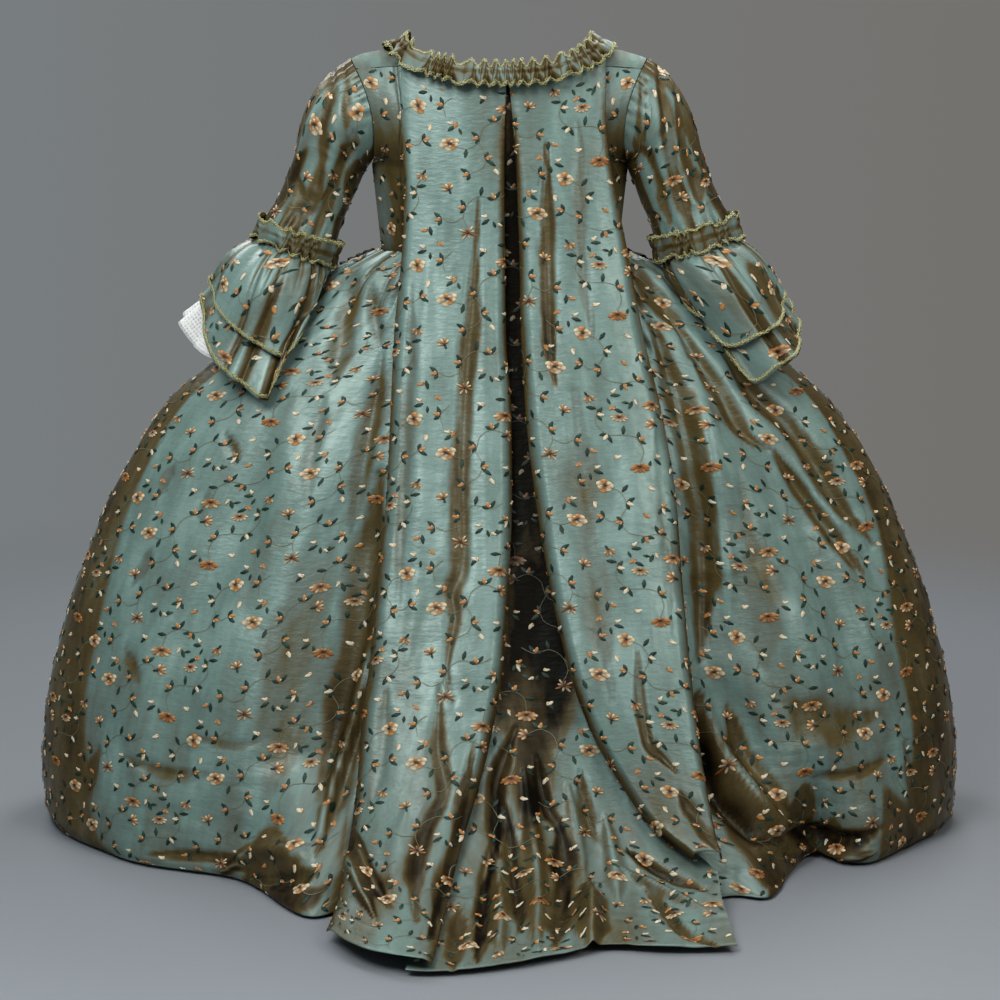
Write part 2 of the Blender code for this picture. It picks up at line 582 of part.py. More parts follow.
def main():
    for o in list(bpy.data.objects):
        bpy.data.objects.remove(o, do_unlink=True)
    skirt_rows = np.array([0, 0.02, 0.05, 0.10, 0.20, 0.32, 0.45, 0.58, 0.70, 0.80, 0.88, 0.94, 0.98, 1.0])
    sack_rows = np.array([0, 0.04, 0.08, 0.14, 0.22, 0.32, 0.43, 0.54, 0.64, 0.73, 0.80, 0.86, 0.91, 0.95, 0.98, 1.0])
    pleat_across = np.array([0, 0.05, 0.12, 0.22, 0.5, 0.78, 0.88, 0.95, 1.0])
    for side, tag in ((1, "L"), (-1, "R")):
        on = lambda f: lambda u, v: f(side, u, v)
        panel("back_pleat_" + tag, "silk", on(back_pleat), pleat_across, sack_rows)
        panel("skirt_back_" + tag, "silk", on(skirt_back), stations(12), skirt_rows)
        panel("skirt_front_" + tag, "silk", on(skirt_front), stations(8), skirt_rows)
        panel("bodice_back_" + tag, "silk", on(bodice_back), stations(5), stations(9))
        panel("bodice_front_" + tag, "silk", on(bodice_front), stations(6), stations(9))
        panel("shoulder_strap_" + tag, "silk", on(shoulder_strap), stations(4), stations(6))
        panel("sleeve_" + tag, "silk", on(sleeve), rounds(14), stations(7), round_arm=True)
        panel("elbow_band_" + tag, "silk", on(elbow_band), rounds(14), stations(4), round_arm=True)
        for v0, v1, word in ((0.0, 0.14, "top"), (0.86, 1.0, "bottom")):
            panel("band_braid_" + word + "_" + tag, "braid", on(elbow_band), rounds(14), stations(2, v0, v1), lift=0.0030, wall=0.0020, round_arm=True)
        for layer in ("upper", "lower"):
            f = lambda u, v: flounce(side, u, v, layer)
            panel("flounce_" + layer + "_" + tag, "silk", f, FLOUNCE_ROUND, FLOUNCE_DOWN, wall=0.0015, round_arm=True)
            panel("flounce_braid_" + layer + "_" + tag, "braid", f, FLOUNCE_ROUND, stations(2, 0.965, 1.0), lift=0.0034, wall=0.0014, round_arm=True)
        panel("lace_cuff_" + tag, "lace", lambda u, v: flounce(side, u, v, "cuff"), FLOUNCE_ROUND, stations(4), wall=0.0010, round_arm=True)
        panel("front_ruffle_" + tag, "silk", on(front_ruffle), stations(9), stations(3), wall=0.0015)
        panel("pocket_trim_" + tag, "silk", on(pocket_trim), stations(6), stations(3), wall=0.0015)
    both = lambda f: lambda u, v: f(1, u, v)
    panel("back_inset", "silk", both(back_inset), stations(5), sack_rows)
    panel("petticoat_front", "silk", both(petticoat), stations(9), skirt_rows[skirt_rows > 0.01])
    panel("stomacher", "silk", both(stomacher), stations(6), stations(5))
    panel("neck_ruffle", "silk", both(neck_ruffle), stations(21), stations(3), wall=0.0015)
    for v0, v1, word in ((0.0, 0.14, "inner"), (0.86, 1.0, "outer")):
        panel("neck_braid_" + word, "braid", both(neck_ruffle), stations(21), stations(2, v0, v1), lift=0.0030, wall=0.0020)


main()
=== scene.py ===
"""A robe a la francaise in embroidered shot silk: the frame's solids give each piece of cloth its place, and here
every piece is a thin sheet on that form, with its folds, gathers, embroidery and braid.

Metres, +Z up, the wearer's left on +X, the front towards -Y. Heights called h are over the floor.
"""
import math

import bpy
import numpy as np
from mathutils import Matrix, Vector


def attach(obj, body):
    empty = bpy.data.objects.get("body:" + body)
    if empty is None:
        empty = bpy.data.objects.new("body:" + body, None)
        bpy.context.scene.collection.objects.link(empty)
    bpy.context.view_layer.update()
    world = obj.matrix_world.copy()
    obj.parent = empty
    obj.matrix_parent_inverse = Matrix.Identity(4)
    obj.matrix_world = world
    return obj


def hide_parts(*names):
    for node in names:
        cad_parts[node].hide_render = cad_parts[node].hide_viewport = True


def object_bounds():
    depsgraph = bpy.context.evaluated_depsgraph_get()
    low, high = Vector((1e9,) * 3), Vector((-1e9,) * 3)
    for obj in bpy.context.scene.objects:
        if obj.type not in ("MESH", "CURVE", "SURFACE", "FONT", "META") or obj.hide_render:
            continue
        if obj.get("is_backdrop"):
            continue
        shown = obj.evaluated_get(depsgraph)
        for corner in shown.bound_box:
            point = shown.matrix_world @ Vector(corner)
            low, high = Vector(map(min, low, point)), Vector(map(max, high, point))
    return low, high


# ---------------------------------------------------------------- sizes, in metres
FLOOR_Z = -1.38          # the floor, below the shoulder line where the wearer holds the gown
WALL = 0.0020            # thickness of the silk with its seam turnings
GAP = 0.0004             # clear gap left at seams
WAIST_H = 1.008          # height of the waist seam over the floor

# Skirt and petticoat sections from the waist (v = 0) to the hem (v = 1): half width at the side, depth of the
# back and of the front, and the height of each over the floor.
SKIRT_COLUMNS = ("v", "w", "hs", "b", "hb", "f", "hf")
SKIRT = (
    (0.00, 0.209, 1.008, 0.116, 1.008, 0.118, 1.004),
    (0.04, 0.284, 0.974, 0.124, 0.970, 0.152, 0.965),
    (0.10, 0.342, 0.922, 0.136, 0.915, 0.182, 0.910),
    (0.20, 0.476, 0.833, 0.158, 0.825, 0.222, 0.820),
    (0.30, 0.582, 0.745, 0.188, 0.735, 0.258, 0.730),
    (0.40, 0.644, 0.656, 0.222, 0.645, 0.292, 0.640),
    (0.50, 0.692, 0.567, 0.250, 0.555, 0.322, 0.550),
    (0.60, 0.730, 0.477, 0.286, 0.462, 0.350, 0.460),
    (0.70, 0.762, 0.387, 0.322, 0.365, 0.374, 0.365),
    (0.80, 0.788, 0.290, 0.362, 0.262, 0.396, 0.265),
    (0.88, 0.808, 0.190, 0.402, 0.160, 0.412, 0.165),
    (0.94, 0.816, 0.098, 0.434, 0.072, 0.422, 0.078),
    (0.98, 0.812, 0.026, 0.458, 0.015, 0.428, 0.016),
    (1.00, 0.800, 0.0035, 0.464, 0.0035, 0.430, 0.0035),
)

# The sack back: height and depth of the inner cloth, how far the pleats stand off it, the edges of both
# pleats, and how much the sheet curves forward at its edges.
SACK_COLUMNS = ("v", "h", "y", "lift", "xil", "xol", "xir", "xor", "bow")
SACK = (
    (0.00, 1.298, 0.112, 0.008, -0.0110, 0.167, -0.0150, -0.178, 0.024),
    (0.05, 1.225, 0.121, 0.008, -0.0085, 0.166, -0.0215, -0.178, 0.016),
    (0.11, 1.130, 0.128, 0.014, -0.0075, 0.161, -0.0280, -0.192, 0.013),
    (0.18, 1.020, 0.136, 0.022, -0.0080, 0.165, -0.0320, -0.214, 0.014),
    (0.27, 0.880, 0.160, 0.032, -0.0100, 0.178, -0.0350, -0.240, 0.012),
    (0.36, 0.740, 0.198, 0.038, -0.0190, 0.184, -0.0430, -0.272, 0.012),
    (0.45, 0.600, 0.246, 0.042, -0.0200, 0.190, -0.0600, -0.294, 0.012),
    (0.54, 0.460, 0.302, 0.044, -0.0130, 0.204, -0.0840, -0.303, 0.014),
    (0.62, 0.350, 0.356, 0.044, -0.0050, 0.214, -0.1100, -0.312, 0.018),
    (0.70, 0.250, 0.414, 0.042, 0.0120, 0.226, -0.1460, -0.322, 0.020),
    (0.77, 0.165, 0.476, 0.038, 0.0360, 0.232, -0.1960, -0.334, 0.022),
    (0.83, 0.098, 0.542, 0.034, 0.0600, 0.240, -0.2500, -0.346, 0.024),
    (0.89, 0.052, 0.624, 0.030, 0.0760, 0.248, -0.3180, -0.356, 0.024),
    (0.94, 0.026, 0.714, 0.024, 0.0880, 0.254, -0.3300, -0.362, 0.024),
    (0.98, 0.015, 0.800, 0.018, 0.0960, 0.262, -0.3350, -0.362, 0.024),
    (1.00, 0.012, 0.846, 0.016, 0.1000, 0.266, -0.3380, -0.362, 0.024),
)
# How far the end of the train falls short of its longest point across its width.
TRAIN_END_COLUMNS = ("x", "short")
TRAIN_END = (
    (-0.42, 0.12), (-0.36, 0.070), (-0.26, 0.075), (-0.17, 0.095), (-0.10, 0.060), (-0.03, 0.025),
    (0.04, 0.000), (0.12, -0.015), (0.19, 0.005), (0.23, 0.045), (0.27, 0.120), (0.34, 0.240),
)
PLEAT_RIGHT_END = 0.875  # where the right pleat runs out into the train

# Sleeve sections from the armhole to the elbow: centre, slope of the arm in degrees below level, and the
# radii along and across.
SLEEVE_COLUMNS = ("s", "cx", "cy", "ch", "tilt", "r1", "r2")
SLEEVE_LEFT = (
    (0.00, 0.238, 0.004, 1.250, 12, 0.088, 0.070),
    (0.18, 0.266, 0.005, 1.228, 30, 0.081, 0.071),
    (0.36, 0.283, 0.006, 1.196, 50, 0.071, 0.067),
    (0.56, 0.298, 0.008, 1.148, 65, 0.062, 0.062),
    (0.78, 0.322, 0.012, 1.090, 70, 0.060, 0.060),
    (1.00, 0.350, 0.018, 1.028, 70, 0.065, 0.063),
)
SLEEVE_RIGHT = (
    (0.00, 0.234, 0.004, 1.250, 12, 0.088, 0.070),
    (0.18, 0.260, 0.005, 1.228, 30, 0.080, 0.071),
    (0.36, 0.276, 0.006, 1.196, 50, 0.071, 0.067),
    (0.56, 0.290, 0.008, 1.148, 67, 0.064, 0.063),
    (0.78, 0.312, 0.012, 1.092, 73, 0.063, 0.061),
    (1.00, 0.338, 0.018, 1.034, 74, 0.067, 0.064),
)

# Elbow flounces: round the arm from the outer side (0) by the back (90) and the inner side (180) to the
# front (270), how far the lower flounce's hem lies from its gathered edge, outwards, backwards and down, and
# the lengths of the upper flounce and of the white under-ruffle beside it.
FLOUNCE_COLUMNS = ("a", "o", "b", "d", "upper", "cuff")
FLOUNCE_LEFT = (
    (0, 0.102, -0.010, 0.116, 0.73, 1.40),
    (45, 0.096, 0.045, 0.186, 0.68, 1.02),
    (90, 0.084, 0.070, 0.212, 0.72, 0.84),
    (135, 0.070, 0.060, 0.215, 0.75, 0.60),
    (180, 0.040, 0.008, 0.058, 0.80, 0.62),
    (225, 0.040, -0.020, 0.046, 0.80, 0.90),
    (270, 0.056, -0.050, 0.055, 0.80, 1.00),
    (315, 0.096, -0.050, 0.088, 0.74, 1.36),
)
FLOUNCE_RIGHT = (
    (0, 0.112, -0.010, 0.142, 0.66, 0.92),
    (45, 0.128, 0.045, 0.178, 0.72, 0.90),
    (90, 0.130, 0.070, 0.190, 0.76, 0.78),
    (135, 0.116, 0.058, 0.200, 0.76, 0.60),
    (180, 0.052, 0.008, 0.050, 0.80, 0.62),
    (225, 0.042, -0.020, 0.046, 0.80, 0.90),
    (270, 0.056, -0.050, 0.055, 0.80, 0.90),
    (315, 0.094, -0.045, 0.090, 0.72, 0.90),
)

# Neckline from the centre back (t = 0) over the shoulder (t = 1): the middle line of the ruffle, and the
# half width of the ruffle, inwards and upwards.
NECK_COLUMNS = ("t", "x", "y", "h", "ix", "iy", "ih")
NECK = (
    (0.00, 0.000, 0.130, 1.304, 0.000, -0.010, 0.018),
    (0.25, 0.062, 0.127, 1.307, -0.002, -0.010, 0.018),
    (0.50, 0.122, 0.116, 1.322, -0.008, -0.008, 0.016),
    (0.66, 0.157, 0.094, 1.340, -0.014, -0.006, 0.014),
    (0.80, 0.173, 0.054, 1.358, -0.018, -0.002, 0.011),
    (0.90, 0.176, 0.000, 1.359, -0.019, 0.000, 0.008),
    (1.00, 0.168, -0.052, 1.336, -0.018, -0.001, 0.006),
)
# Front edge of the gown's bodice from the shoulder to the waist, where the ruffle goes on down.
EDGE_COLUMNS = ("t", "x", "y", "h")
EDGE = (
    (0.00, 0.172, -0.012, 1.346),
    (0.20, 0.158, -0.070, 1.306),
    (0.45, 0.142, -0.116, 1.225),
    (0.70, 0.122, -0.136, 1.130),
    (1.00, 0.090, -0.1165, 1.0118),
)


def column(table, names, name):
    return np.array([row[names.index(name)] for row in table], float)


def smooth_curve(xs, ys, x):
    """A curve through the table's points that never overshoots them."""
    x = np.clip(np.asarray(x, float), xs[0], xs[-1])
    h = np.diff(xs)
    d = np.diff(ys) / h
    m = np.zeros(len(xs))
    m[0], m[-1] = d[0], d[-1]
    for i in range(1, len(xs) - 1):
        if d[i - 1] * d[i] > 0:
            w1, w2 = 2 * h[i] + h[i - 1], h[i] + 2 * h[i - 1]
            m[i] = (w1 + w2) / (w1 / d[i - 1] + w2 / d[i])
    i = np.clip(np.searchsorted(xs, x, side="right") - 1, 0, len(h) - 1)
    t = (x - xs[i]) / h[i]
    return (
        (2 * t**3 - 3 * t**2 + 1) * ys[i] + (t**3 - 2 * t**2 + t) * h[i] * m[i]
        + (-2 * t**3 + 3 * t**2) * ys[i + 1] + (t**3 - t**2) * h[i] * m[i + 1]
    )


def read(table, names, name, x):
    return smooth_curve(column(table, names, names[0]), column(table, names, name), x)


def read_round(table, names, name, a):
    """The same for a table that goes once round an arm, in degrees."""
    xs, ys = column(table, names, names[0]), column(table, names, name)
    n = len(xs)
    i = np.floor((np.asarray(a, float) % 360) / (360 / n)).astype(int) % n
    t = (np.asarray(a, float) % 360) / (360 / n) - i
    p0, p1, p2, p3 = ys[(i - 1) % n], ys[i], ys[(i + 1) % n], ys[(i + 2) % n]
    return 0.5 * (2 * p1 + (p2 - p0) * t + (2 * p0 - 5 * p1 + 4 * p2 - p3) * t**2 + (3 * p1 - p0 - 3 * p2 + p3) * t**3)


def ease(t):
    t = np.clip(t, 0.0, 1.0)
    return t * t * (3 - 2 * t)


def bump(x, centre, width):
    return np.exp(-(((x - centre) / width) ** 2))


def stack(x, y, h):
    x, y, h = np.broadcast_arrays(x, y, h)
    return np.stack([x, y, h + FLOOR_Z], axis=-1)


def normals(surface, u, v, step=2e-4):
    """Unit normals of a surface, from small steps along it."""
    du = surface(u + step, v) - surface(u - step, v)
    dv = surface(u, v + step) - surface(u, v - step)
    n = np.cross(du, dv)
    return n / np.maximum(np.linalg.norm(n, axis=-1, keepdims=True), 1e-12)


# ---------------------------------------------------------------- skirt over the side hoops
def skirt_point(side, angle, v, inside=0.0):
    """angle runs from the centre back (0) by the side (90 degrees) to the centre front (180 degrees)."""
    v = np.clip(v, 0, 1)
    w = read(SKIRT, SKIRT_COLUMNS, "w", v) - inside
    b = read(SKIRT, SKIRT_COLUMNS, "b", v) - inside
    f = read(SKIRT, SKIRT_COLUMNS, "f", v) - inside
    hs, hb, hf = (read(SKIRT, SKIRT_COLUMNS, k, v) for k in ("hs", "hb", "hf"))
    s, c = np.sin(angle), np.cos(angle)
    x = w * np.sign(s) * np.abs(s) ** 0.97
    y = np.where(c >= 0, b * np.abs(c) ** 0.97, -f * np.abs(c) ** 0.97)
    h = hs * s**2 + np.where(c >= 0, hb, hf) * c**2
    return x * side, y, h


# The skirt's largest folds, each at x over a run of rows: how deep (towards the front) or proud, and half width.
FOLD_COLUMNS = ("x0", "x1", "v0", "v1", "depth", "width")
FOLDS_LEFT = (
    (0.215, 0.320, 0.30, 1.02, -0.016, 0.034),
    (0.260, 0.455, 0.18, 0.95, 0.010, 0.050),
    (0.330, 0.620, 0.22, 0.98, -0.010, 0.040),
)
FOLDS_RIGHT = (
    (0.300, 0.372, 0.34, 0.90, -0.014, 0.030),
    (0.290, 0.520, 0.16, 0.80, 0.010, 0.045),
    (0.350, 0.520, 0.72, 1.05, -0.030, 0.036),
    (0.420, 0.700, 0.26, 1.02, -0.012, 0.036),
)


def large_folds(side, x, v):
    total = 0.0
    for x0, x1, v0, v1, depth, width in FOLDS_LEFT if side > 0 else FOLDS_RIGHT:
        k = (v - v0) / (v1 - v0)
        total = total + depth * bump(x, x0 + (x1 - x0) * k, width) * ease(k / 0.35) * ease((1 - k) / 0.25)
    return total


def hem_reach(side, x, v):
    """The skirt's lobes on the floor beside the train."""
    low = ease((v - 0.85) / 0.15)
    if side > 0:
        reach = 0.165 * bump(x, 0.300, 0.085) + 0.012 * bump(x, 0.60, 0.05)
    else:
        reach = 0.100 * bump(x, 0.435, 0.050) + 0.090 * bump(x, 0.33, 0.07) - 0.085 * bump(x, 0.535, 0.040) + 0.02 * bump(x, 0.63, 0.05)
    return reach * low


def pleat_edge(side, v):
    """x of the outer edge of the sack's pleat at the skirt's row v."""
    h = read(SKIRT, SKIRT_COLUMNS, "hb", v)
    hs = column(SACK, SACK_COLUMNS, "h")
    xs = column(SACK, SACK_COLUMNS, "xol" if side > 0 else "xor") * side
    return smooth_curve(hs[::-1], xs[::-1], h)


def skirt_back(side, u, v, tuck=0.050):
    """From under the pleat (u = 0) to the side seam (u = 1)."""
    w = read(SKIRT, SKIRT_COLUMNS, "w", v)
    start = np.arcsin(np.clip((pleat_edge(side, v) - tuck) / w, 0.05, 0.95) ** (1 / 0.97))
    angle = start + (math.radians(97) - start) * u
    x, y, h = skirt_point(side, angle, v)
    y = y + hem_reach(side, np.abs(x), v) + large_folds(side, np.abs(x), v) * ease((y + 0.02) / 0.12)
    return stack(x, y, h)


def skirt_front(side, u, v):
    """From the side seam (u = 0) to the front edge (u = 1)."""
    w = read(SKIRT, SKIRT_COLUMNS, "w", v)
    edge = 0.090 + 0.170 * v
    end = math.pi - np.arcsin((edge / w) ** (1 / 0.97))
    angle = math.radians(97) + (end - math.radians(97)) * u
    return stack(*skirt_point(side, angle, v))


def petticoat(side, u, v):
    """The petticoat's front, from left (u = 0) to right (u = 1), under both front edges."""
    w = read(SKIRT, SKIRT_COLUMNS, "w", v) - 0.012
    half = np.arcsin(np.clip((0.090 + 0.170 * v + 0.060) / w, 0, 1) ** (1 / 0.97))
    angle = math.pi - half + 2 * half * u
    return stack(*skirt_point(1, angle, np.maximum(v, 0.005), 0.012))


# ---------------------------------------------------------------- the sack back
def sack_point(x, v, lift):
    """The loose back, from the neckline (v = 0) to the end of the train (v = 1), lifted off its inner cloth."""
    v = np.clip(v, 0, 1)
    h0, y0 = read(SACK, SACK_COLUMNS, "h", v), read(SACK, SACK_COLUMNS, "y", v)
    e = 4e-3
    dy = read(SACK, SACK_COLUMNS, "y", v + e) - read(SACK, SACK_COLUMNS, "y", v - e)
    dh = read(SACK, SACK_COLUMNS, "h", v + e) - read(SACK, SACK_COLUMNS, "h", v - e)
    n = np.maximum(np.hypot(dy, dh), 1e-9)
    ny, nh = -dh / n, dy / n
    short = smooth_curve(column(TRAIN_END, TRAIN_END_COLUMNS, "x"), column(TRAIN_END, TRAIN_END_COLUMNS, "short"), x)
    edge = np.where(x > 0, read(SACK, SACK_COLUMNS, "xol", v), -read(SACK, SACK_COLUMNS, "xor", v))
    y = y0 - read(SACK, SACK_COLUMNS, "bow", v) * (x / edge) ** 2 - short * ease((v - 0.62) / 0.38)
    h = h0 + 0.030 * np.clip(np.abs(x) / 0.17, 0, 1.05) ** 3 * ease(1 - v / 0.10)
    return x, y + ny * lift, h + nh * lift


def pleat_rows(side, v):
    a, b = ("xil", "xol") if side > 0 else ("xir", "xor")
    v = v if side > 0 else v * PLEAT_RIGHT_END
    return v, read(SACK, SACK_COLUMNS, a, v), read(SACK, SACK_COLUMNS, b, v)


def back_pleat(side, u, v):
    """One pleat, from its inner edge (u = 0) to its outer edge (u = 1). Both edges turn under."""
    v, inner, outer = pleat_rows(side, v)
    lift = read(SACK, SACK_COLUMNS, "lift", v)
    s = np.clip(u, 0, 1)
    edge = np.maximum(0, 1 - s / 0.14) ** 2 + np.maximum(0, (s - 0.86) / 0.14) ** 2
    crown = (1 - (2 * s - 1) ** 2) * 0.006
    x = inner + (outer - inner) * u
    return stack(*sack_point(x, v, lift + crown * ease(v / 0.2) - 0.62 * lift * edge))


def back_inset(side, u, v):
    """The cloth between and under the pleats, from left (u = 0) to right (u = 1)."""
    left = read(SACK, SACK_COLUMNS, "xil", v) + 0.040
    right = read(SACK, SACK_COLUMNS, "xir", v) - 0.040 * ease((0.93 - v) / 0.08) - 0.022 * ease((v - 0.85) / 0.08)
    x = left + (right - left) * u
    return stack(*sack_point(x, v, -0.004 * ease((v - 0.02) / 0.1) * ease((0.95 - v) / 0.1)))


# ---------------------------------------------------------------- sleeves
def sleeve_table(side):
    return SLEEVE_LEFT if side > 0 else SLEEVE_RIGHT


def arm_frame(side, s):
    t = sleeve_table(side)
    tilt = np.radians(read(t, SLEEVE_COLUMNS, "tilt", s))
    return [read(t, SLEEVE_COLUMNS, k, s) for k in ("cx", "cy", "ch", "r1", "r2")] + [tilt]


def sleeve(side, u, v, out=0.0):
    """Round the arm (u) from the outer side by the back, and down it (v)."""
    cx, cy, ch, r1, r2, tilt = arm_frame(side, v)
    a = 2 * math.pi * u
    k = 0.018 * np.abs(np.sin(a)) ** 2 * ease(1 - v / 0.3)
    x = cx + (r1 + out) * np.cos(a) * np.sin(tilt) - k
    h = ch + (r1 + out) * np.cos(a) * np.cos(tilt)
    y = cy + (r2 + out) * np.sin(a)
    return stack(x * side, y, h)


def below_elbow(side, u, down, out):
    """A ring round the arm some way below the sleeve's end."""
    cx, cy, ch, r1, r2, tilt = arm_frame(side, np.float64(1.0))
    a = 2 * math.pi * u
    cx, ch = cx + down * np.cos(tilt), ch - down * np.sin(tilt)
    return (
        cx + (r1 + out) * np.cos(a) * np.sin(tilt), cy + (r2 + out) * np.sin(a), ch + (r1 + out) * np.cos(a) * np.cos(tilt),
    )


def elbow_band(side, u, v, out=0.0):
    """The gathered band over the end of the sleeve."""
    x, y, h = below_elbow(side, u, -0.018 + 0.040 * v, 0.0075 + 0.004 * np.sin(math.pi * v) + out)
    return stack(x * side, y, h)


def clear_of_skirt(x, y, h, clearance):
    """Moves cloth that hangs over the skirt to just outside it."""
    v = smooth_curve(column(SKIRT, SKIRT_COLUMNS, "hs")[::-1], column(SKIRT, SKIRT_COLUMNS, "v")[::-1], h)
    w = read(SKIRT, SKIRT_COLUMNS, "w", v) + clearance
    b = read(SKIRT, SKIRT_COLUMNS, "b", v) + clearance
    inside = np.sqrt(np.maximum(1 - (np.minimum(x, w) / w) ** 2, 0)) * b
    near = ease((1.005 - h) / 0.05) * ease((w - x) / 0.015)
    soft = 0.010
    return y + near * (0.5 * (y + inside + np.sqrt((y - inside) ** 2 + soft**2)) - y)


def flounce_sheet(side, u, v):
    """The sheet that the flounces follow, from under the band (v = 0) to the lower hem (v = 1) and a little past it."""
    a = 360.0 * u
    table = FLOUNCE_LEFT if side > 0 else FLOUNCE_RIGHT
    o, b, d = (read_round(table, FLOUNCE_COLUMNS, k, a) for k in ("o", "b", "d"))
    x, y, h = below_elbow(side, u, 0.022, -0.0065)
    v = np.maximum(v, -0.01)
    power = 1.15 - 0.25 * np.cos(np.radians(a))
    x = x + o * ((v + 0.02) ** 1.15 - 0.02**1.15)
    h = h - d * ((v + 0.02) ** power - 0.02**power)
    y = y + b * ((v + 0.02) ** 1.15 - 0.02**1.15)
    puff = (0.0115 + 0.0020 * side + 0.010 * np.cos(np.radians(a - 50))) * np.maximum(np.sin(math.pi * np.clip(v / 0.74, 0, 1) ** 0.62), 0) ** 1.5
    tilt = arm_frame(side, np.float64(1.0))[-1]
    x = x + puff * np.cos(np.radians(a)) * np.sin(tilt)
    y = y + puff * np.sin(np.radians(a))
    h = h + puff * np.cos(np.radians(a)) * np.cos(tilt)
    back = ease((0.57 - (u % 1)) / 0.14)
    y = y + (clear_of_skirt(x, y, h, 0.034) - y) * back * ease(v / 0.2)
    return stack(x * side, y, h)


def flounce(side, u, v, layer):
    """A gathered flounce from under the band (v = 0) to its hem (v = 1), longest at the back of the elbow."""
    table = FLOUNCE_LEFT if side > 0 else FLOUNCE_RIGHT
    if layer == "lower":
        return flounce_sheet(side, u, v)
    reach = v * read_round(table, FLOUNCE_COLUMNS, layer, 360.0 * u)
    a, tilt = 2 * math.pi * u, arm_frame(side, np.float64(1.0))[-1]
    away = np.stack([side * np.cos(a) * np.sin(tilt), np.sin(a), np.cos(a) * np.cos(tilt)], axis=-1)
    off = (0.0060 + 0.0080 * ease(reach / 0.5)) * (1 if layer == "upper" else -1)
    return flounce_sheet(side, u, reach) + away * off[..., None]


# ---------------------------------------------------------------- bodice
def armhole(side, a):
    """The seam of the sleeve, a in degrees from the top by the back."""
    return sleeve(side, a / 360.0, np.zeros(np.shape(a)))


def bodice_back(side, u, v):
    """From under the pleat (u = 0) to the armhole and the side seam (u = 1), shoulder (v = 0) to waist (v = 1)."""
    arm = ease(np.clip(v / 0.56, 0, 1)) * 0.25 + 0.75 * np.clip(v / 0.56, 0, 1)
    a = armhole(side, 38 + 138 * arm)
    k = np.clip((v - 0.56) / 0.44, 0, 1)
    seam = stack(side * (0.2215 - 0.0155 * k), 0.000 * k, 1.1595 - (1.1595 - 1.0118) * k)
    outer = np.where((v <= 0.56)[..., None], a - np.array([0.0016 * side, 0, 0]), seam)
    h_in = 1.326 - (1.326 - 1.0118) * v
    inner = stack(side * (0.128 - 0.018 * v), 0.0745 + 0.018 * ease(v / 0.35) + 0.002 * ease((v - 0.45) / 0.55), h_in)
    p = inner + (outer - inner) * u[..., None]
    fall = 0.006 + 0.018 * ease(v / 0.6)
    p[..., 1] += fall * 4 * u * (1 - u)
    return p


def edge_point(side, t):
    return stack(side * read(EDGE, EDGE_COLUMNS, "x", t), read(EDGE, EDGE_COLUMNS, "y", t), read(EDGE, EDGE_COLUMNS, "h", t))


def bodice_front(side, u, v):
    """From the front edge (u = 0) to the armhole and the side seam (u = 1), shoulder (v = 0) to waist (v = 1)."""
    arm = np.clip(v / 0.56, 0, 1)
    a = armhole(side, 322 - 138 * arm)
    k = np.clip((v - 0.56) / 0.44, 0, 1)
    seam = stack(side * (0.2215 - 0.0155 * k), -0.0035 + 0.000 * k, 1.1595 - (1.1595 - 1.0118) * k)
    outer = np.where((v <= 0.56)[..., None], a - np.array([0.0016 * side, 0, 0]), seam)
    inner = edge_point(side, 0.16 + 0.84 * v)
    p = inner + (outer - inner) * u[..., None]
    p[..., 1] -= (0.006 + 0.030 * ease(v / 0.6)) * 4 * u * (1 - u)
    return p


def shoulder_strap(side, u, v):
    """From the neckline (u = 0) to the armhole (u = 1), back seam (v = 0) over the shoulder to the front seam (v = 1)."""
    a = armhole(side, 36.5 - 73 * v) - np.array([0.0016 * side, 0, 0])
    back = stack(side * 0.1665, 0.0705, 1.3245)
    front = edge_point(side, np.float64(0.145))
    top = stack(side * 0.1720, 0.004, 1.3500)
    k = v[..., None]
    inner = back * (1 - k) * (1 - 2 * k) + 4 * k * (1 - k) * top + front * k * (2 * k - 1)
    p = inner + (a - inner) * u[..., None]
    p[..., 2] += 0.006 * 4 * u * (1 - u) * 4 * v * (1 - v)
    return p


def stomacher(side, u, v):
    """The stiff front between and under the gown's front edges, left (u = 0) to right (u = 1), top to waist."""
    t = 0.540 + 0.460 * v
    x = read(EDGE, EDGE_COLUMNS, "x", t) + 0.012
    y = read(EDGE, EDGE_COLUMNS, "y", t) + 0.0070
    h = read(EDGE, EDGE_COLUMNS, "h", t)
    k = 1 - 2 * u
    return stack(x * k, y - 0.010 * (1 - k**2), h)


# ---------------------------------------------------------------- gathered trimmings
def neck_ruffle(side, u, v):
    """Along the back neckline from one shoulder (u = 0) to the other (u = 1), inner edge (v = 0) to outer edge."""
    t = 1 - 2 * u
    k = np.sign(t)
    g = {n: read(NECK, NECK_COLUMNS, n, np.abs(t)) for n in NECK_COLUMNS[1:]}
    m = 1 - 2 * v
    puff = 0.004 * (1 - m**2)
    return stack(k * (g["x"] + g["ix"] * m), g["y"] + g["iy"] * m + puff + 0.004, g["h"] + g["ih"] * m + 0.006 + puff)


def front_ruffle(side, u, v):
    """Down the front edge from the shoulder (u = 0) to the waist (u = 1), inner edge (v = 0) to outer edge."""
    across, along = 0.03 + 0.27 * v, 0.02 + 0.965 * u
    on_front = lambda p, q: bodice_front(side, p, q)
    n = normals(on_front, across, along)
    n = n * np.where(n[..., 1:2] > 0, -1.0, 1.0)
    return on_front(across, along) + n * (0.0045 + 0.004 * np.sin(math.pi * v))[..., None]


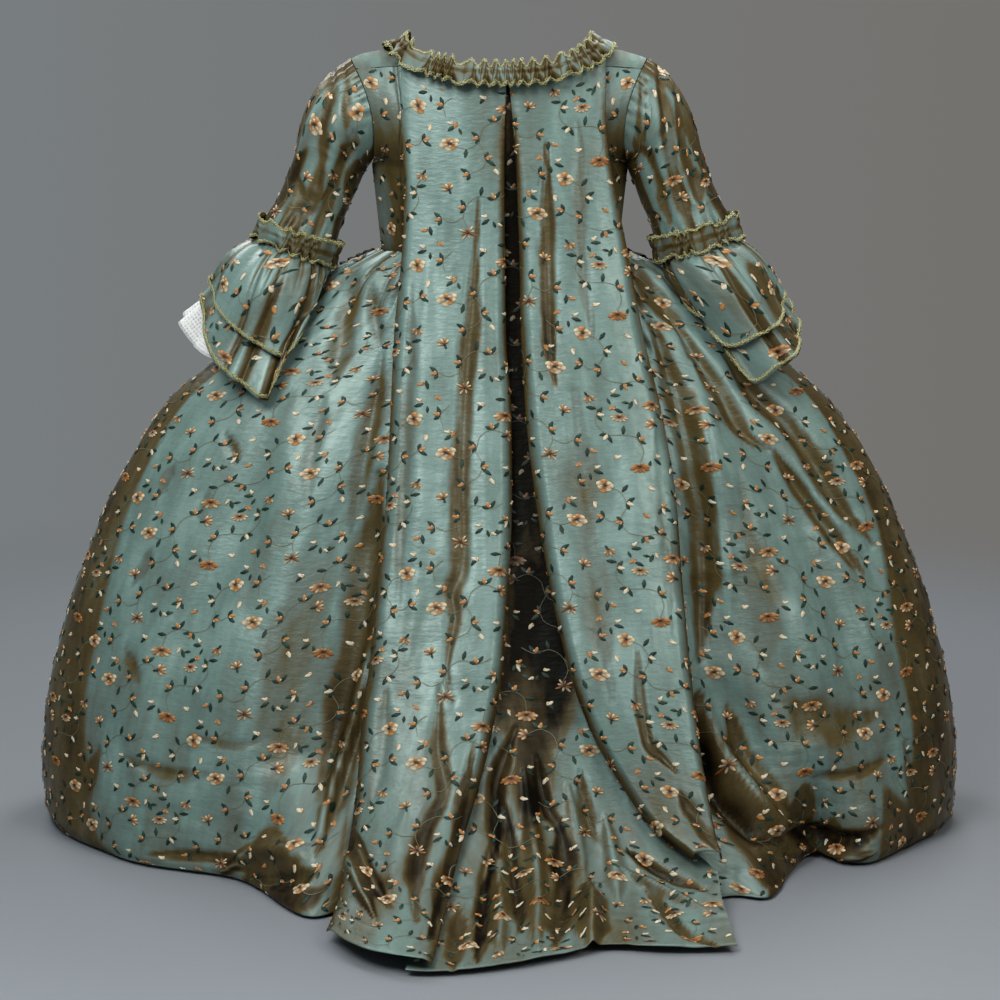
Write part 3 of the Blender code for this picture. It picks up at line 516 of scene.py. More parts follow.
def pocket_trim(side, u, v):
    """The gathered strip along the pocket opening on top of the side hoop, near its front."""
    across, along = 0.10 + 0.17 * v, 0.010 + 0.075 * u
    on_front = lambda p, q: skirt_front(side, p, q)
    n = normals(on_front, across, along)
    n = n * np.where(n[..., 2:3] < 0, -1.0, 1.0)
    return on_front(across, along) + n * (0.0045 + 0.006 * np.sin(math.pi * v))[..., None]


# ---------------------------------------------------------------- folds
# Creases, listed one by one. Each has the line that it follows, as x and the row v of its panel, how far it stands
# proud (or, below zero, how deep it is), its half width, and how much painted shade lies along it as the olive side of
# the silk; a value below zero paints the crease paler, a painted highlight.
# Skirt panels give x as a distance from the middle of the gown.
SKIRT_LEFT = (
    (((0.205, 0.40), (0.232, 0.626), (0.252, 0.745), (0.272, 0.83), (0.289, 0.895)), -0.022, 0.026, 0.85),
    (((0.222, 0.68), (0.238, 0.76), (0.258, 0.84), (0.284, 0.905), (0.300, 0.940)), 0.014, 0.014, -0.25),
    (((0.214, 0.72), (0.228, 0.80), (0.252, 0.86), (0.275, 0.912), (0.285, 0.932)), -0.012, 0.009, 0.75),
    (((0.222, 0.84), (0.232, 0.90), (0.250, 0.950), (0.262, 0.980)), 0.010, 0.012, -0.10),
    (((0.210, 0.80), (0.221, 0.881), (0.237, 0.935), (0.241, 0.962)), -0.009, 0.008, 0.70),
    (((0.292, 0.48), (0.316, 0.60), (0.335, 0.688), (0.350, 0.811), (0.385, 0.903)), -0.007, 0.052, 0.40),
    (((0.245, 0.02), (0.262, 0.10), (0.272, 0.17), (0.289, 0.235)), -0.008, 0.018, 0.62),
    (((0.221, 0.06), (0.212, 0.12), (0.204, 0.165)), -0.006, 0.012, 0.55),
    (((0.288, 0.932), (0.330, 0.940), (0.390, 0.950), (0.457, 0.990)), 0.013, 0.013, -0.10),
    (((0.292, 0.948), (0.340, 0.962), (0.392, 0.980)), -0.012, 0.011, 0.75),
    (((0.400, 0.995), (0.330, 0.978), (0.275, 0.962)), 0.006, 0.020, 0.85),
    (((0.591, 0.978), (0.500, 0.972), (0.395, 0.965)), -0.006, 0.008, 0.60),
    (((0.472, 0.335), (0.449, 0.390)), -0.004, 0.008, 0.62),
    (((0.200, 0.18), (0.212, 0.265), (0.232, 0.392), (0.250, 0.519)), -0.008, 0.013, 0.52),
    (((0.345, 0.26), (0.372, 0.40), (0.392, 0.54)), 0.006, 0.030, -0.05),
    (((0.300, 0.26), (0.318, 0.36), (0.326, 0.46)), -0.005, 0.016, 0.32),
    (((0.560, 0.40), (0.590, 0.47)), -0.004, 0.008, 0.50),
    (((0.500, 0.44), (0.520, 0.50)), -0.003, 0.007, 0.42),
    (((0.600, 0.56), (0.632, 0.625)), -0.004, 0.009, 0.50),
    (((0.640, 0.74), (0.610, 0.79)), -0.004, 0.010, 0.50),
    (((0.440, 0.62), (0.470, 0.74), (0.500, 0.84)), 0.007, 0.035, 0.0),
    (((0.560, 0.68), (0.600, 0.80), (0.620, 0.90)), 0.006, 0.035, 0.0),
    (((0.480, 0.885), (0.560, 0.895), (0.640, 0.885)), -0.004, 0.010, 0.38),
    (((0.400, 0.842), (0.450, 0.850), (0.520, 0.846)), -0.003, 0.009, 0.40),
    (((0.690, 0.885), (0.720, 0.945), (0.735, 0.990)), -0.008, 0.014, 0.55),
)
SKIRT_RIGHT = (
    (((0.262, 0.13), (0.306, 0.290), (0.330, 0.422), (0.339, 0.489), (0.341, 0.616), (0.336, 0.72)), -0.020, 0.019, 0.85),
    (((0.330, 0.20), (0.362, 0.420), (0.378, 0.550), (0.382, 0.68)), 0.010, 0.020, -0.15),
    (((0.300, 0.130), (0.340, 0.200), (0.374, 0.252), (0.403, 0.317), (0.430, 0.350), (0.458, 0.368)), -0.011, 0.013, 0.70),
    (((0.385, 0.19), (0.438, 0.269), (0.496, 0.326), (0.539, 0.394), (0.585, 0.479), (0.642, 0.561)), -0.013, 0.016, 0.82),
    (((0.468, 0.375), (0.486, 0.404), (0.529, 0.472), (0.570, 0.529), (0.616, 0.605)), -0.010, 0.012, 0.72),
    (((0.332, 0.78), (0.342, 0.855), (0.352, 0.885), (0.378, 0.907), (0.427, 0.930), (0.471, 0.952)), -0.034, 0.018, 1.10),
    (((0.348, 0.80), (0.364, 0.850), (0.406, 0.889), (0.440, 0.915), (0.474, 0.938)), 0.018, 0.014, -0.35),
    (((0.380, 0.80), (0.406, 0.860), (0.452, 0.902), (0.492, 0.938)), -0.009, 0.013, 0.72),
    (((0.473, 0.948), (0.558, 0.966), (0.642, 0.958)), -0.015, 0.014, 0.95),
    (((0.475, 0.968), (0.560, 0.988), (0.630, 0.980)), 0.012, 0.010, -0.10),
    (((0.372, 0.905), (0.390, 0.922), (0.424, 0.950), (0.468, 0.993)), -0.010, 0.020, 0.85),
    (((0.228, 0.010), (0.248, 0.060), (0.282, 0.105), (0.312, 0.150)), -0.010, 0.016, 0.80),
    (((0.215, 0.060), (0.240, 0.130), (0.262, 0.180)), 0.008, 0.012, -0.10),
    (((0.420, 0.52), (0.436, 0.64), (0.440, 0.74)), -0.006, 0.032, 0.36),
    (((0.480, 0.800), (0.560, 0.840), (0.640, 0.838)), -0.006, 0.030, 0.38),
    (((0.500, 0.60), (0.520, 0.72), (0.530, 0.82)), 0.007, 0.034, 0.0),
    (((0.620, 0.66), (0.640, 0.78), (0.650, 0.88)), 0.006, 0.030, 0.0),
    (((0.400, 0.40), (0.412, 0.47), (0.418, 0.54)), -0.004, 0.012, 0.34),
    (((0.520, 0.895), (0.590, 0.900), (0.660, 0.892)), -0.005, 0.010, 0.45),
    (((0.700, 0.880), (0.720, 0.950), (0.745, 0.995)), -0.008, 0.012, 0.45),
)
# The skirt's hidden front half has the same kind of folds, plainer.
SKIRT_FRONT_LEFT = (
    (((0.300, 0.08), (0.420, 0.30), (0.500, 0.60), (0.540, 0.95)), -0.014, 0.024, 0.75),
    (((0.360, 0.10), (0.520, 0.34), (0.620, 0.64), (0.660, 0.98)), -0.010, 0.018, 0.65),
    (((0.230, 0.10), (0.300, 0.36), (0.350, 0.70), (0.385, 0.98)), -0.012, 0.022, 0.70),
    (((0.260, 0.08), (0.350, 0.34), (0.420, 0.66), (0.455, 0.97)), 0.010, 0.032, -0.10),
    (((0.420, 0.20), (0.570, 0.50), (0.620, 0.80)), 0.008, 0.030, -0.10),
    (((0.180, 0.10), (0.230, 0.40), (0.285, 0.80), (0.310, 0.98)), 0.008, 0.024, 0.0),
)
SKIRT_FRONT_RIGHT = (
    (((0.290, 0.08), (0.400, 0.28), (0.470, 0.58), (0.500, 0.93)), -0.013, 0.022, 0.72),
    (((0.380, 0.12), (0.540, 0.36), (0.640, 0.66), (0.680, 0.97)), -0.011, 0.019, 0.68),
    (((0.220, 0.12), (0.285, 0.38), (0.330, 0.66), (0.350, 0.96)), -0.010, 0.018, 0.65),
    (((0.330, 0.10), (0.450, 0.34), (0.545, 0.66), (0.580, 0.98)), 0.010, 0.032, -0.10),
    (((0.250, 0.10), (0.340, 0.34), (0.400, 0.66), (0.425, 0.97)), 0.008, 0.028, -0.10),
)
PETTICOAT_FOLDS = (
    (((-0.060, 0.04), (-0.120, 0.40), (-0.150, 0.98)), -0.008, 0.022, 0.62),
    (((0.030, 0.04), (0.050, 0.44), (0.040, 0.98)), -0.007, 0.020, 0.58),
    (((0.100, 0.04), (0.170, 0.40), (0.210, 0.98)), -0.007, 0.020, 0.58),
    (((-0.015, 0.04), (-0.050, 0.44), (-0.060, 0.98)), 0.006, 0.026, 0.0),
)
PLEAT_LEFT = (
    (((0.036, 0.13), (0.041, 0.182), (0.050, 0.259), (0.060, 0.344), (0.063, 0.429), (0.062, 0.511), (0.079, 0.545), (0.076, 0.575), (0.088, 0.634), (0.074, 0.672)), -0.010, 0.013, 0.82),
    (((0.098, 0.655), (0.101, 0.725), (0.088, 0.778), (0.108, 0.805), (0.123, 0.838), (0.133, 0.905), (0.128, 0.950)), -0.010, 0.013, 0.82),
    (((0.046, 0.72), (0.058, 0.811), (0.076, 0.865), (0.092, 0.905), (0.104, 0.97)), -0.010, 0.017, 1.00),
    (((0.120, 0.20), (0.133, 0.366), (0.135, 0.511), (0.150, 0.62)), 0.006, 0.022, -0.05),
    (((0.148, 0.22), (0.158, 0.40), (0.168, 0.56)), -0.004, 0.012, 0.30),
    (((0.246, 0.820), (0.215, 0.880), (0.170, 0.935)), -0.010, 0.012, 0.62),
    (((0.250, 0.850), (0.226, 0.905), (0.190, 0.955)), 0.012, 0.012, 0.0),
    (((0.185, 0.66), (0.190, 0.74), (0.205, 0.80)), -0.006, 0.012, 0.34),
    (((0.150, 0.80), (0.165, 0.86), (0.160, 0.92)), 0.008, 0.016, 0.0),
    (((0.025, 0.20), (0.025, 0.36), (0.022, 0.52)), 0.003, 0.012, -0.05),
)
PLEAT_RIGHT = (
    (((-0.078, 0.08), (-0.079, 0.207), (-0.083, 0.319), (-0.090, 0.375)), -0.010, 0.011, 0.85),
    (((-0.222, 0.70), (-0.228, 0.766), (-0.240, 0.830), (-0.262, 0.850), (-0.286, 0.872)), -0.008, 0.009, 0.72),
    (((-0.160, 0.14), (-0.184, 0.30), (-0.208, 0.394), (-0.239, 0.584), (-0.252, 0.70)), 0.007, 0.026, -0.05),
    (((-0.120, 0.38), (-0.148, 0.583), (-0.178, 0.766)), -0.005, 0.020, 0.32),
    (((-0.290, 0.90), (-0.325, 0.955), (-0.345, 0.995)), -0.008, 0.014, 0.72),
    (((-0.130, 0.06), (-0.140, 0.20), (-0.150, 0.32)), -0.004, 0.010, 0.34),
    (((-0.262, 0.40), (-0.275, 0.56), (-0.282, 0.68)), -0.004, 0.010, 0.30),
)
INSET = (
    (((-0.026, 0.690), (0.003, 0.745), (0.008, 0.790), (0.008, 0.840)), -0.014, 0.013, 1.00),
    (((0.014, 0.825), (0.023, 0.860), (0.025, 0.913), (0.032, 0.992)), -0.012, 0.011, 0.92),
    (((-0.006, 0.780), (-0.013, 0.806), (-0.022, 0.873), (-0.033, 0.955)), -0.010, 0.010, 0.90),
    (((0.002, 0.865), (0.000, 0.930), (0.000, 0.990)), 0.012, 0.010, -0.10),
    (((-0.060, 0.725), (-0.073, 0.776), (-0.094, 0.812)), -0.010, 0.010, 0.90),
    (((-0.094, 0.800), (-0.101, 0.850), (-0.099, 0.900), (-0.088, 0.985)), -0.012, 0.017, 0.95),
    (((-0.040, 0.740), (-0.052, 0.820), (-0.058, 0.900), (-0.056, 0.985)), 0.014, 0.013, -0.30),
    (((-0.128, 0.745), (-0.140, 0.795), (-0.156, 0.835)), -0.007, 0.007, 0.75),
    (((-0.205, 0.848), (-0.232, 0.862), (-0.263, 0.880), (-0.325, 0.907)), -0.013, 0.010, 0.92),
    (((-0.200, 0.878), (-0.250, 0.905), (-0.318, 0.940)), 0.012, 0.010, -0.10),
    (((-0.232, 0.905), (-0.258, 0.940), (-0.282, 0.975), (-0.328, 1.0)), -0.010, 0.010, 0.85),
    (((-0.138, 0.900), (-0.140, 0.950), (-0.140, 1.0)), 0.030, 0.019, -0.10),
    (((-0.110, 0.760), (-0.124, 0.830), (-0.134, 0.890)), 0.009, 0.011, -0.10),
    (((-0.170, 0.800), (-0.182, 0.860), (-0.186, 0.930)), 0.010, 0.013, 0.0),
    (((-0.062, 0.52), (-0.056, 0.62), (-0.050, 0.70), (-0.046, 0.80)), -0.004, 0.044, 0.95),
    (((0.060, 0.900), (0.066, 0.950), (0.070, 1.0)), -0.008, 0.013, 0.55),
)
SLEEVE_LEFT_FOLDS = (
    (((0.285, 0.10), (0.300, 0.36), (0.318, 0.70), (0.352, 0.98)), -0.005, 0.010, 0.75),
    (((0.245, 0.16), (0.262, 0.40), (0.292, 0.72), (0.320, 0.95)), -0.006, 0.011, 0.70),
    (((0.215, 0.20), (0.235, 0.42), (0.262, 0.66)), -0.005, 0.009, 0.70),
    (((0.262, 0.08), (0.280, 0.40), (0.305, 0.72)), 0.004, 0.012, -0.20),
    (((0.350, 0.62), (0.340, 0.80), (0.372, 0.96)), -0.005, 0.010, 0.70),
    (((0.300, 0.02), (0.285, 0.12), (0.290, 0.24)), -0.003, 0.006, 0.55),
    (((0.270, 0.02), (0.262, 0.10), (0.262, 0.20)), -0.003, 0.006, 0.55),
)
SLEEVE_RIGHT_FOLDS = (
    (((0.270, 0.05), (0.285, 0.30), (0.300, 0.62), (0.330, 0.95)), -0.006, 0.011, 0.80),
    (((0.230, 0.12), (0.248, 0.36), (0.270, 0.64), (0.295, 0.90)), -0.005, 0.010, 0.72),
    (((0.300, 0.20), (0.320, 0.50), (0.345, 0.85)), -0.005, 0.010, 0.75),
    (((0.252, 0.06), (0.268, 0.36), (0.288, 0.68)), 0.004, 0.012, -0.20),
    (((0.285, 0.24), (0.305, 0.56), (0.330, 0.80)), 0.004, 0.010, -0.20),
    (((0.290, 0.02), (0.275, 0.10), (0.278, 0.22)), -0.003, 0.006, 0.55),
    (((0.245, 0.02), (0.240, 0.12), (0.244, 0.22)), -0.003, 0.006, 0.55),
)


def lattice(a, b, seed):
    k = a.astype(np.int64) * 374761393 + b.astype(np.int64) * 668265263 + int(seed) * 144269504
    k = (k ^ (k >> 13)) * 1274126177
    return ((k ^ (k >> 16)) & 0xFFFF) / 65535.0


def noise(x, y, seed):
    """Smooth noise from 0 to 1."""
    x, y = np.broadcast_arrays(np.asarray(x, float), np.asarray(y, float))
    xi, yi = np.floor(x), np.floor(y)
    fx, fy = x - xi, y - yi
    fx, fy = fx * fx * (3 - 2 * fx), fy * fy * (3 - 2 * fy)
    low = lattice(xi, yi, seed) * (1 - fx) + lattice(xi + 1, yi, seed) * fx
    high = lattice(xi, yi + 1, seed) * (1 - fx) + lattice(xi + 1, yi + 1, seed) * fx
    return low * (1 - fy) + high * fy


def crumple(x, y, seed):
    """Noise about zero with crisp ridges, as taffeta has."""
    a = noise(x, y, seed) + 0.5 * noise(2.1 * x + 3.1, 2.1 * y, seed + 1)
    b = noise(1.3 * x + 0.4 * y, 1.3 * y, seed + 2)
    return (a - 0.75) + 0.8 * (0.25 - np.abs(b - 0.5))


def curve_through(pts, parts=6):
    """A smooth line through the points."""
    n, out = len(pts), []
    for i in range(n - 1):
        p0, p1, p2, p3 = pts[max(i - 1, 0)], pts[i], pts[i + 1], pts[min(i + 2, n - 1)]
        for t in np.arange(parts) / parts:
            out.append(0.5 * (2 * p1 + (p2 - p0) * t + (2 * p0 - 5 * p1 + 4 * p2 - p3) * t**2 + (3 * p1 - p0 - 3 * p2 + p3) * t**3))
    return np.array(out + [pts[-1]])


def crease_field(creases, x, t, length_at, seed=1):
    """Height of all creases over the smooth form, and the painted shade that they lay on the silk as its olive side, at
    x and length t down the panel.
    """
    high, turned = np.zeros_like(x), np.zeros_like(x)
    # the painted shade along each crease has a ragged edge, broad and fine, longer down the cloth than across it
    wx = x + 0.014 * (noise(x * 16, t * 9, seed + 401) - 0.5) + 0.007 * (noise(x * 55, t * 24, seed + 403) - 0.5) + 0.004 * (noise(x * 150, t * 60, seed + 405) - 0.5)
    for line, depth, width, shot_and_shade in creases:
        pts = curve_through(np.array([(a, length_at(b)) for a, b in line]))
        lengths = np.r_[0, np.cumsum(np.hypot(*np.diff(pts, axis=0).T))]
        near = (x > pts[:, 0].min() - 4 * width) & (x < pts[:, 0].max() + 4 * width) & (t > pts[:, 1].min() - 4 * width) & (t < pts[:, 1].max() + 4 * width)
        if not near.any():
            continue
        xs, ws, ts = x[near], wx[near], t[near]

        def along(qx):
            best, at = np.full(qx.shape, 1e9), np.zeros_like(qx)
            for i in range(len(pts) - 1):
                d = pts[i + 1] - pts[i]
                n = max(np.hypot(*d), 1e-9)
                k = np.clip(((qx - pts[i, 0]) * d[0] + (ts - pts[i, 1]) * d[1]) / n**2, 0, 1)
                away = np.hypot(qx - pts[i, 0] - k * d[0], ts - pts[i, 1] - k * d[1])
                closer = away < best
                best = np.where(closer, away, best)
                at = np.where(closer, (lengths[i] + k * n) / lengths[-1], at)
            return best, at

        best, at = along(xs)
        grow = 0.35 + 0.65 * ease(np.minimum(at, 1 - at) / 0.30)
        high[near] += depth * np.exp(-((best / (width * grow)) ** 2)) * grow
        best, at = along(ws)
        uneven = 0.72 + 0.62 * noise(at * lengths[-1] * 13, 0 * at, seed + int(1000 * abs(pts[0, 0])))
        grow = (0.30 + 0.70 * ease(np.minimum(at, 1 - at) / 0.32)) * uneven
        wide = np.exp(-((best / (1.12 * width * grow)) ** 6)) * ease(np.minimum(at + 0.10, 1.10 - at) / 0.16)
        shade = 0.74 * shot_and_shade + 0.16 * (noise(at * lengths[-1] * 9, best * 60, seed + 7) - 0.5) * (shot_and_shade > 0) if shot_and_shade < 1.2 else shot_and_shade
        turned[near] = np.where(shot_and_shade > 0, np.maximum(turned[near], shade * wide), turned[near] + shot_and_shade * wide)
    return high, turned


def combine_shot_and_shade(a, b):
    """Two amounts of painted shade on the silk's olive side, combined without going past the deeper one by much."""
    return np.maximum(a, b) + 0.22 * np.minimum(a, b)


def grid_normals(p, closed=False):
    if closed:
        du = np.roll(p, -1, 0) - np.roll(p, 1, 0)
    else:
        du = np.gradient(p, axis=0)
    dv = np.gradient(p, axis=1)
    n = np.cross(du, dv)
    return n / np.maximum(np.linalg.norm(n, axis=-1, keepdims=True), 1e-12)


def outward(p, n, closed):
    """The normals, all turned to the outer side of the gown or of the arm."""
    if closed:
        centre = p.mean(axis=0, keepdims=True)
    else:
        centre = np.zeros_like(p)
        centre[..., 2] = p[..., 2] - 0.05
    return n * (-1.0 if ((p - centre) * n).sum(-1).mean() < 0 else 1.0)


class Panel:
    """A panel of cloth as a grid of points, with its flat lengths s across and t down, and how far its silk turns
    olive, which is mostly painted shade.
    """

    def __init__(self, surface, us, vs, closed=False):
        self.u, self.v = np.meshgrid(us, vs, indexing="ij")
        self.closed = closed
        self.p = surface(self.u, self.v)
        self.n = outward(self.p, grid_normals(self.p, closed), closed)
        down = np.linalg.norm(np.diff(self.p, axis=1), axis=-1).mean(axis=0)
        self.t_row = np.r_[0, np.cumsum(down)]
        self.t = np.broadcast_to(self.t_row, self.u.shape).copy()
        across = np.linalg.norm(np.diff(self.p, axis=0), axis=-1)
        s = np.concatenate([np.zeros((1, len(vs))), np.cumsum(across, axis=0)])
        self.s = s - s[len(us) // 2]
        self.shot_and_shade = np.zeros(self.u.shape)

    def length_at(self, v):
        return float(np.interp(v, self.v[0], self.t_row))

    def displace(self, high, turn=1.0):
        """Moves the cloth along its normals. Where a fold's flank turns away from the smooth form, the silk's olive
        side is painted on it, as painted shade of the turned flank.
        """
        before = self.n
        self.p = self.p + before * high[..., None]
        self.n = outward(self.p, grid_normals(self.p, self.closed), self.closed)
        tilt = np.arccos(np.clip((before * self.n).sum(-1), -1, 1))
        self.shot_and_shade = np.minimum(self.shot_and_shade + turn * ease((np.degrees(tilt) - 15) / 24), 0.62)

    def keep_off_floor(self, least=0.0035):
        h = self.p[..., 2] - FLOOR_Z - least
        self.p[..., 2] = FLOOR_Z + least + 0.5 * (h + np.sqrt(h * h + 0.0000060))

    def at(self, s, t):
        """Points and normals at flat lengths s and t, and which of them are on the panel."""
        nu, nv = self.s.shape
        if not hasattr(self, "table"):
            low, high = self.s.min(), self.s.max()
            self.s_step = 0.0015
            self.s_axis = np.arange(low, high + self.s_step, self.s_step)
            self.table = np.array([
                np.interp(self.s_axis, self.s[:, j], np.arange(nu), left=-9999, right=-9999) for j in range(nv)
            ])
        fj = np.interp(t, self.t_row, np.arange(nv), left=-1, right=-1)
        ok = fj >= 0
        j = np.clip(fj.astype(int), 0, nv - 2)
        kj = np.clip(fj - j, 0, 1)
        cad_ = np.clip((s - self.s_axis[0]) / self.s_step, 0, len(self.s_axis) - 1.001)
        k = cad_.astype(int)
        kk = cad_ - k
        corner = [self.table[j + a, k + b] for a in (0, 1) for b in (0, 1)]
        for c in corner:
            ok &= c >= 0
        ok &= (s > self.s_axis[0]) & (s < self.s_axis[-1])
        fi = (corner[0] * (1 - kk) + corner[1] * kk) * (1 - kj) + (corner[2] * (1 - kk) + corner[3] * kk) * kj
        fi = np.clip(fi, 0, nu - 1.001)
        i = fi.astype(int)
        ki = (fi - i)[:, None]
        kj = kj[:, None]

        def mix(a):
            return (a[i, j] * (1 - ki) + a[i + 1, j] * ki) * (1 - kj) + (a[i, j + 1] * (1 - ki) + a[i + 1, j + 1] * ki) * kj

        return mix(self.p), mix(self.n), ok


def make_mesh(name, points, faces, material, uv=None, values=None, colour=None):
    """faces is an array of quads or triangles. uv and the values are given for each point."""
    mesh = bpy.data.meshes.new(name)
    faces = np.asarray(faces, np.int32)
    k = faces.shape[1]
    mesh.vertices.add(len(points))
    mesh.vertices.foreach_set("co", np.asarray(points, np.float32).ravel())
    mesh.loops.add(faces.size)
    mesh.loops.foreach_set("vertex_index", faces.ravel())
    mesh.polygons.add(len(faces))
    mesh.polygons.foreach_set("loop_start", np.arange(0, faces.size, k, dtype=np.int32))
    mesh.update(calc_edges=True)
    if uv is not None:
        layer = mesh.uv_layers.new(name="cloth")
        layer.data.foreach_set("uv", np.asarray(uv, np.float32)[faces.ravel()].ravel())
    if values is not None:
        mesh.attributes.new("shot_and_shade", "FLOAT", "POINT").data.foreach_set("value", np.asarray(values, np.float32))
    if colour is not None:
        rgba = np.concatenate([colour, np.ones((len(colour), 1))], axis=1)
        mesh.attributes.new("thread", "FLOAT_COLOR", "POINT").data.foreach_set("color", rgba.astype(np.float32).ravel())
    mesh.validate()
    mesh.shade_smooth()
    mesh.materials.append(material)
    piece = bpy.data.objects.new(name, mesh)
    bpy.context.scene.collection.objects.link(piece)
    return piece


def grid_faces(nu, nv, closed):
    i = np.arange(nu if closed else nu - 1)
    j = np.arange(nv - 1)
    a, b = np.meshgrid(i, j, indexing="ij")
    c = (a + 1) % nu
    return np.stack([a * nv + b, c * nv + b, c * nv + b + 1, a * nv + b + 1], axis=-1).reshape(-1, 4)


PIECES = {}


def add_piece(piece, nodes):
    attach(piece, "root")
    if nodes:
        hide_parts(*nodes)
    PIECES[piece.name] = piece
    return piece


def cloth(name, panel, nodes, material, hem=True, top=False, thick=0.0013, turned=0.010):
    """The panel as a sheet. Its hem, and its top edge where that shows, turn in with the cloth's thickness."""
    p, n, s, t, shot_and_shade = panel.p, panel.n, panel.s, panel.t, panel.shot_and_shade
    if hem:
        step = max((panel.t_row[-1] - panel.t_row[-2]), 1e-6)
        back = p[:, -1] + (p[:, -2] - p[:, -1]) * min(turned / step, 8.0)
        extra = [p[:, -1] - n[:, -1] * thick, back - n[:, -1] * (1.3 * thick)]
        p = np.concatenate([p] + [e[:, None] for e in extra], axis=1)
        s = np.concatenate([s, s[:, -1:], s[:, -1:]], axis=1)
        t = np.concatenate([t, t[:, -1:] + thick, t[:, -1:] + turned], axis=1)
        shot_and_shade = np.concatenate([shot_and_shade, shot_and_shade[:, -1:], shot_and_shade[:, -1:]], axis=1)
    if top:
        extra = [p[:, 0] - n[:, 0] * thick, p[:, 0] + (p[:, 1] - p[:, 0]) * 2 - n[:, 0] * (1.3 * thick)]
        p = np.concatenate([e[:, None] for e in extra[::-1]] + [p], axis=1)
        s = np.concatenate([s[:, :1], s[:, :1], s], axis=1)
        t = np.concatenate([t[:, :1] - turned, t[:, :1] - thick, t], axis=1)
        shot_and_shade = np.concatenate([shot_and_shade[:, :1], shot_and_shade[:, :1], shot_and_shade], axis=1)
    nu, nv = s.shape
    faces = grid_faces(nu, nv, panel.closed)
    a, b = p[1 % nu, nv // 2] - p[0, nv // 2], p[0, nv // 2 + 1] - p[0, nv // 2]
    if np.dot(np.cross(a, b), panel.n[0, panel.n.shape[1] // 2]) < 0:
        faces = faces[:, ::-1]
    piece = make_mesh(name, p.reshape(-1, 3), faces, material, np.stack([s, t], -1).reshape(-1, 2), shot_and_shade.ravel())
    return add_piece(piece, nodes)


# ---------------------------------------------------------------- materials
def new_material(name):
    m = bpy.data.materials.new(name)
    m.use_nodes = True
    nodes = m.node_tree.nodes
    return m, nodes, m.node_tree.links, nodes["Principled BSDF"]


def ramp(nodes, stops):
    r = nodes.new("ShaderNodeValToRGB")
    els = r.color_ramp.elements
    while len(els) < len(stops):
        els.new(0.5)
    for e, (at, rgb) in zip(els, stops):
        e.position = at
        e.color = (*rgb, 1)
    return r


def math_node(nodes, links, kind, a, b=None):
    m = nodes.new("ShaderNodeMath")
    m.operation = kind
    for i, x in enumerate((a, b)):
        if x is None:
            continue
        if isinstance(x, (int, float)):
            m.inputs[i].default_value = x
        else:
            links.new(x, m.inputs[i])
    return m.outputs[0]


def cloth_noise(nodes, links, uv, sx, sy, scale, detail=3.0, rough=0.55):
    """Noise over the flat cloth, with its own stretch across and down."""
    m = nodes.new("ShaderNodeMapping")
    m.inputs["Scale"].default_value = (sx, sy, 1)
    links.new(uv, m.inputs["Vector"])
    t = nodes.new("ShaderNodeTexNoise")
    t.inputs["Scale"].default_value = scale
    t.inputs["Detail"].default_value = detail
    t.inputs["Roughness"].default_value = rough
    links.new(m.outputs["Vector"], t.inputs["Vector"])
    return t.outputs["Fac"]


TEAL = (0.098, 0.158, 0.142)
TEAL_PALE = (0.136, 0.208, 0.190)
GREY = (0.084, 0.106, 0.090)
OLIVE = (0.066, 0.048, 0.016)
# painted shade: the darkest brown, for deep creases and the slit between the pleats
SHADE_BROWN = (0.020, 0.013, 0.005)


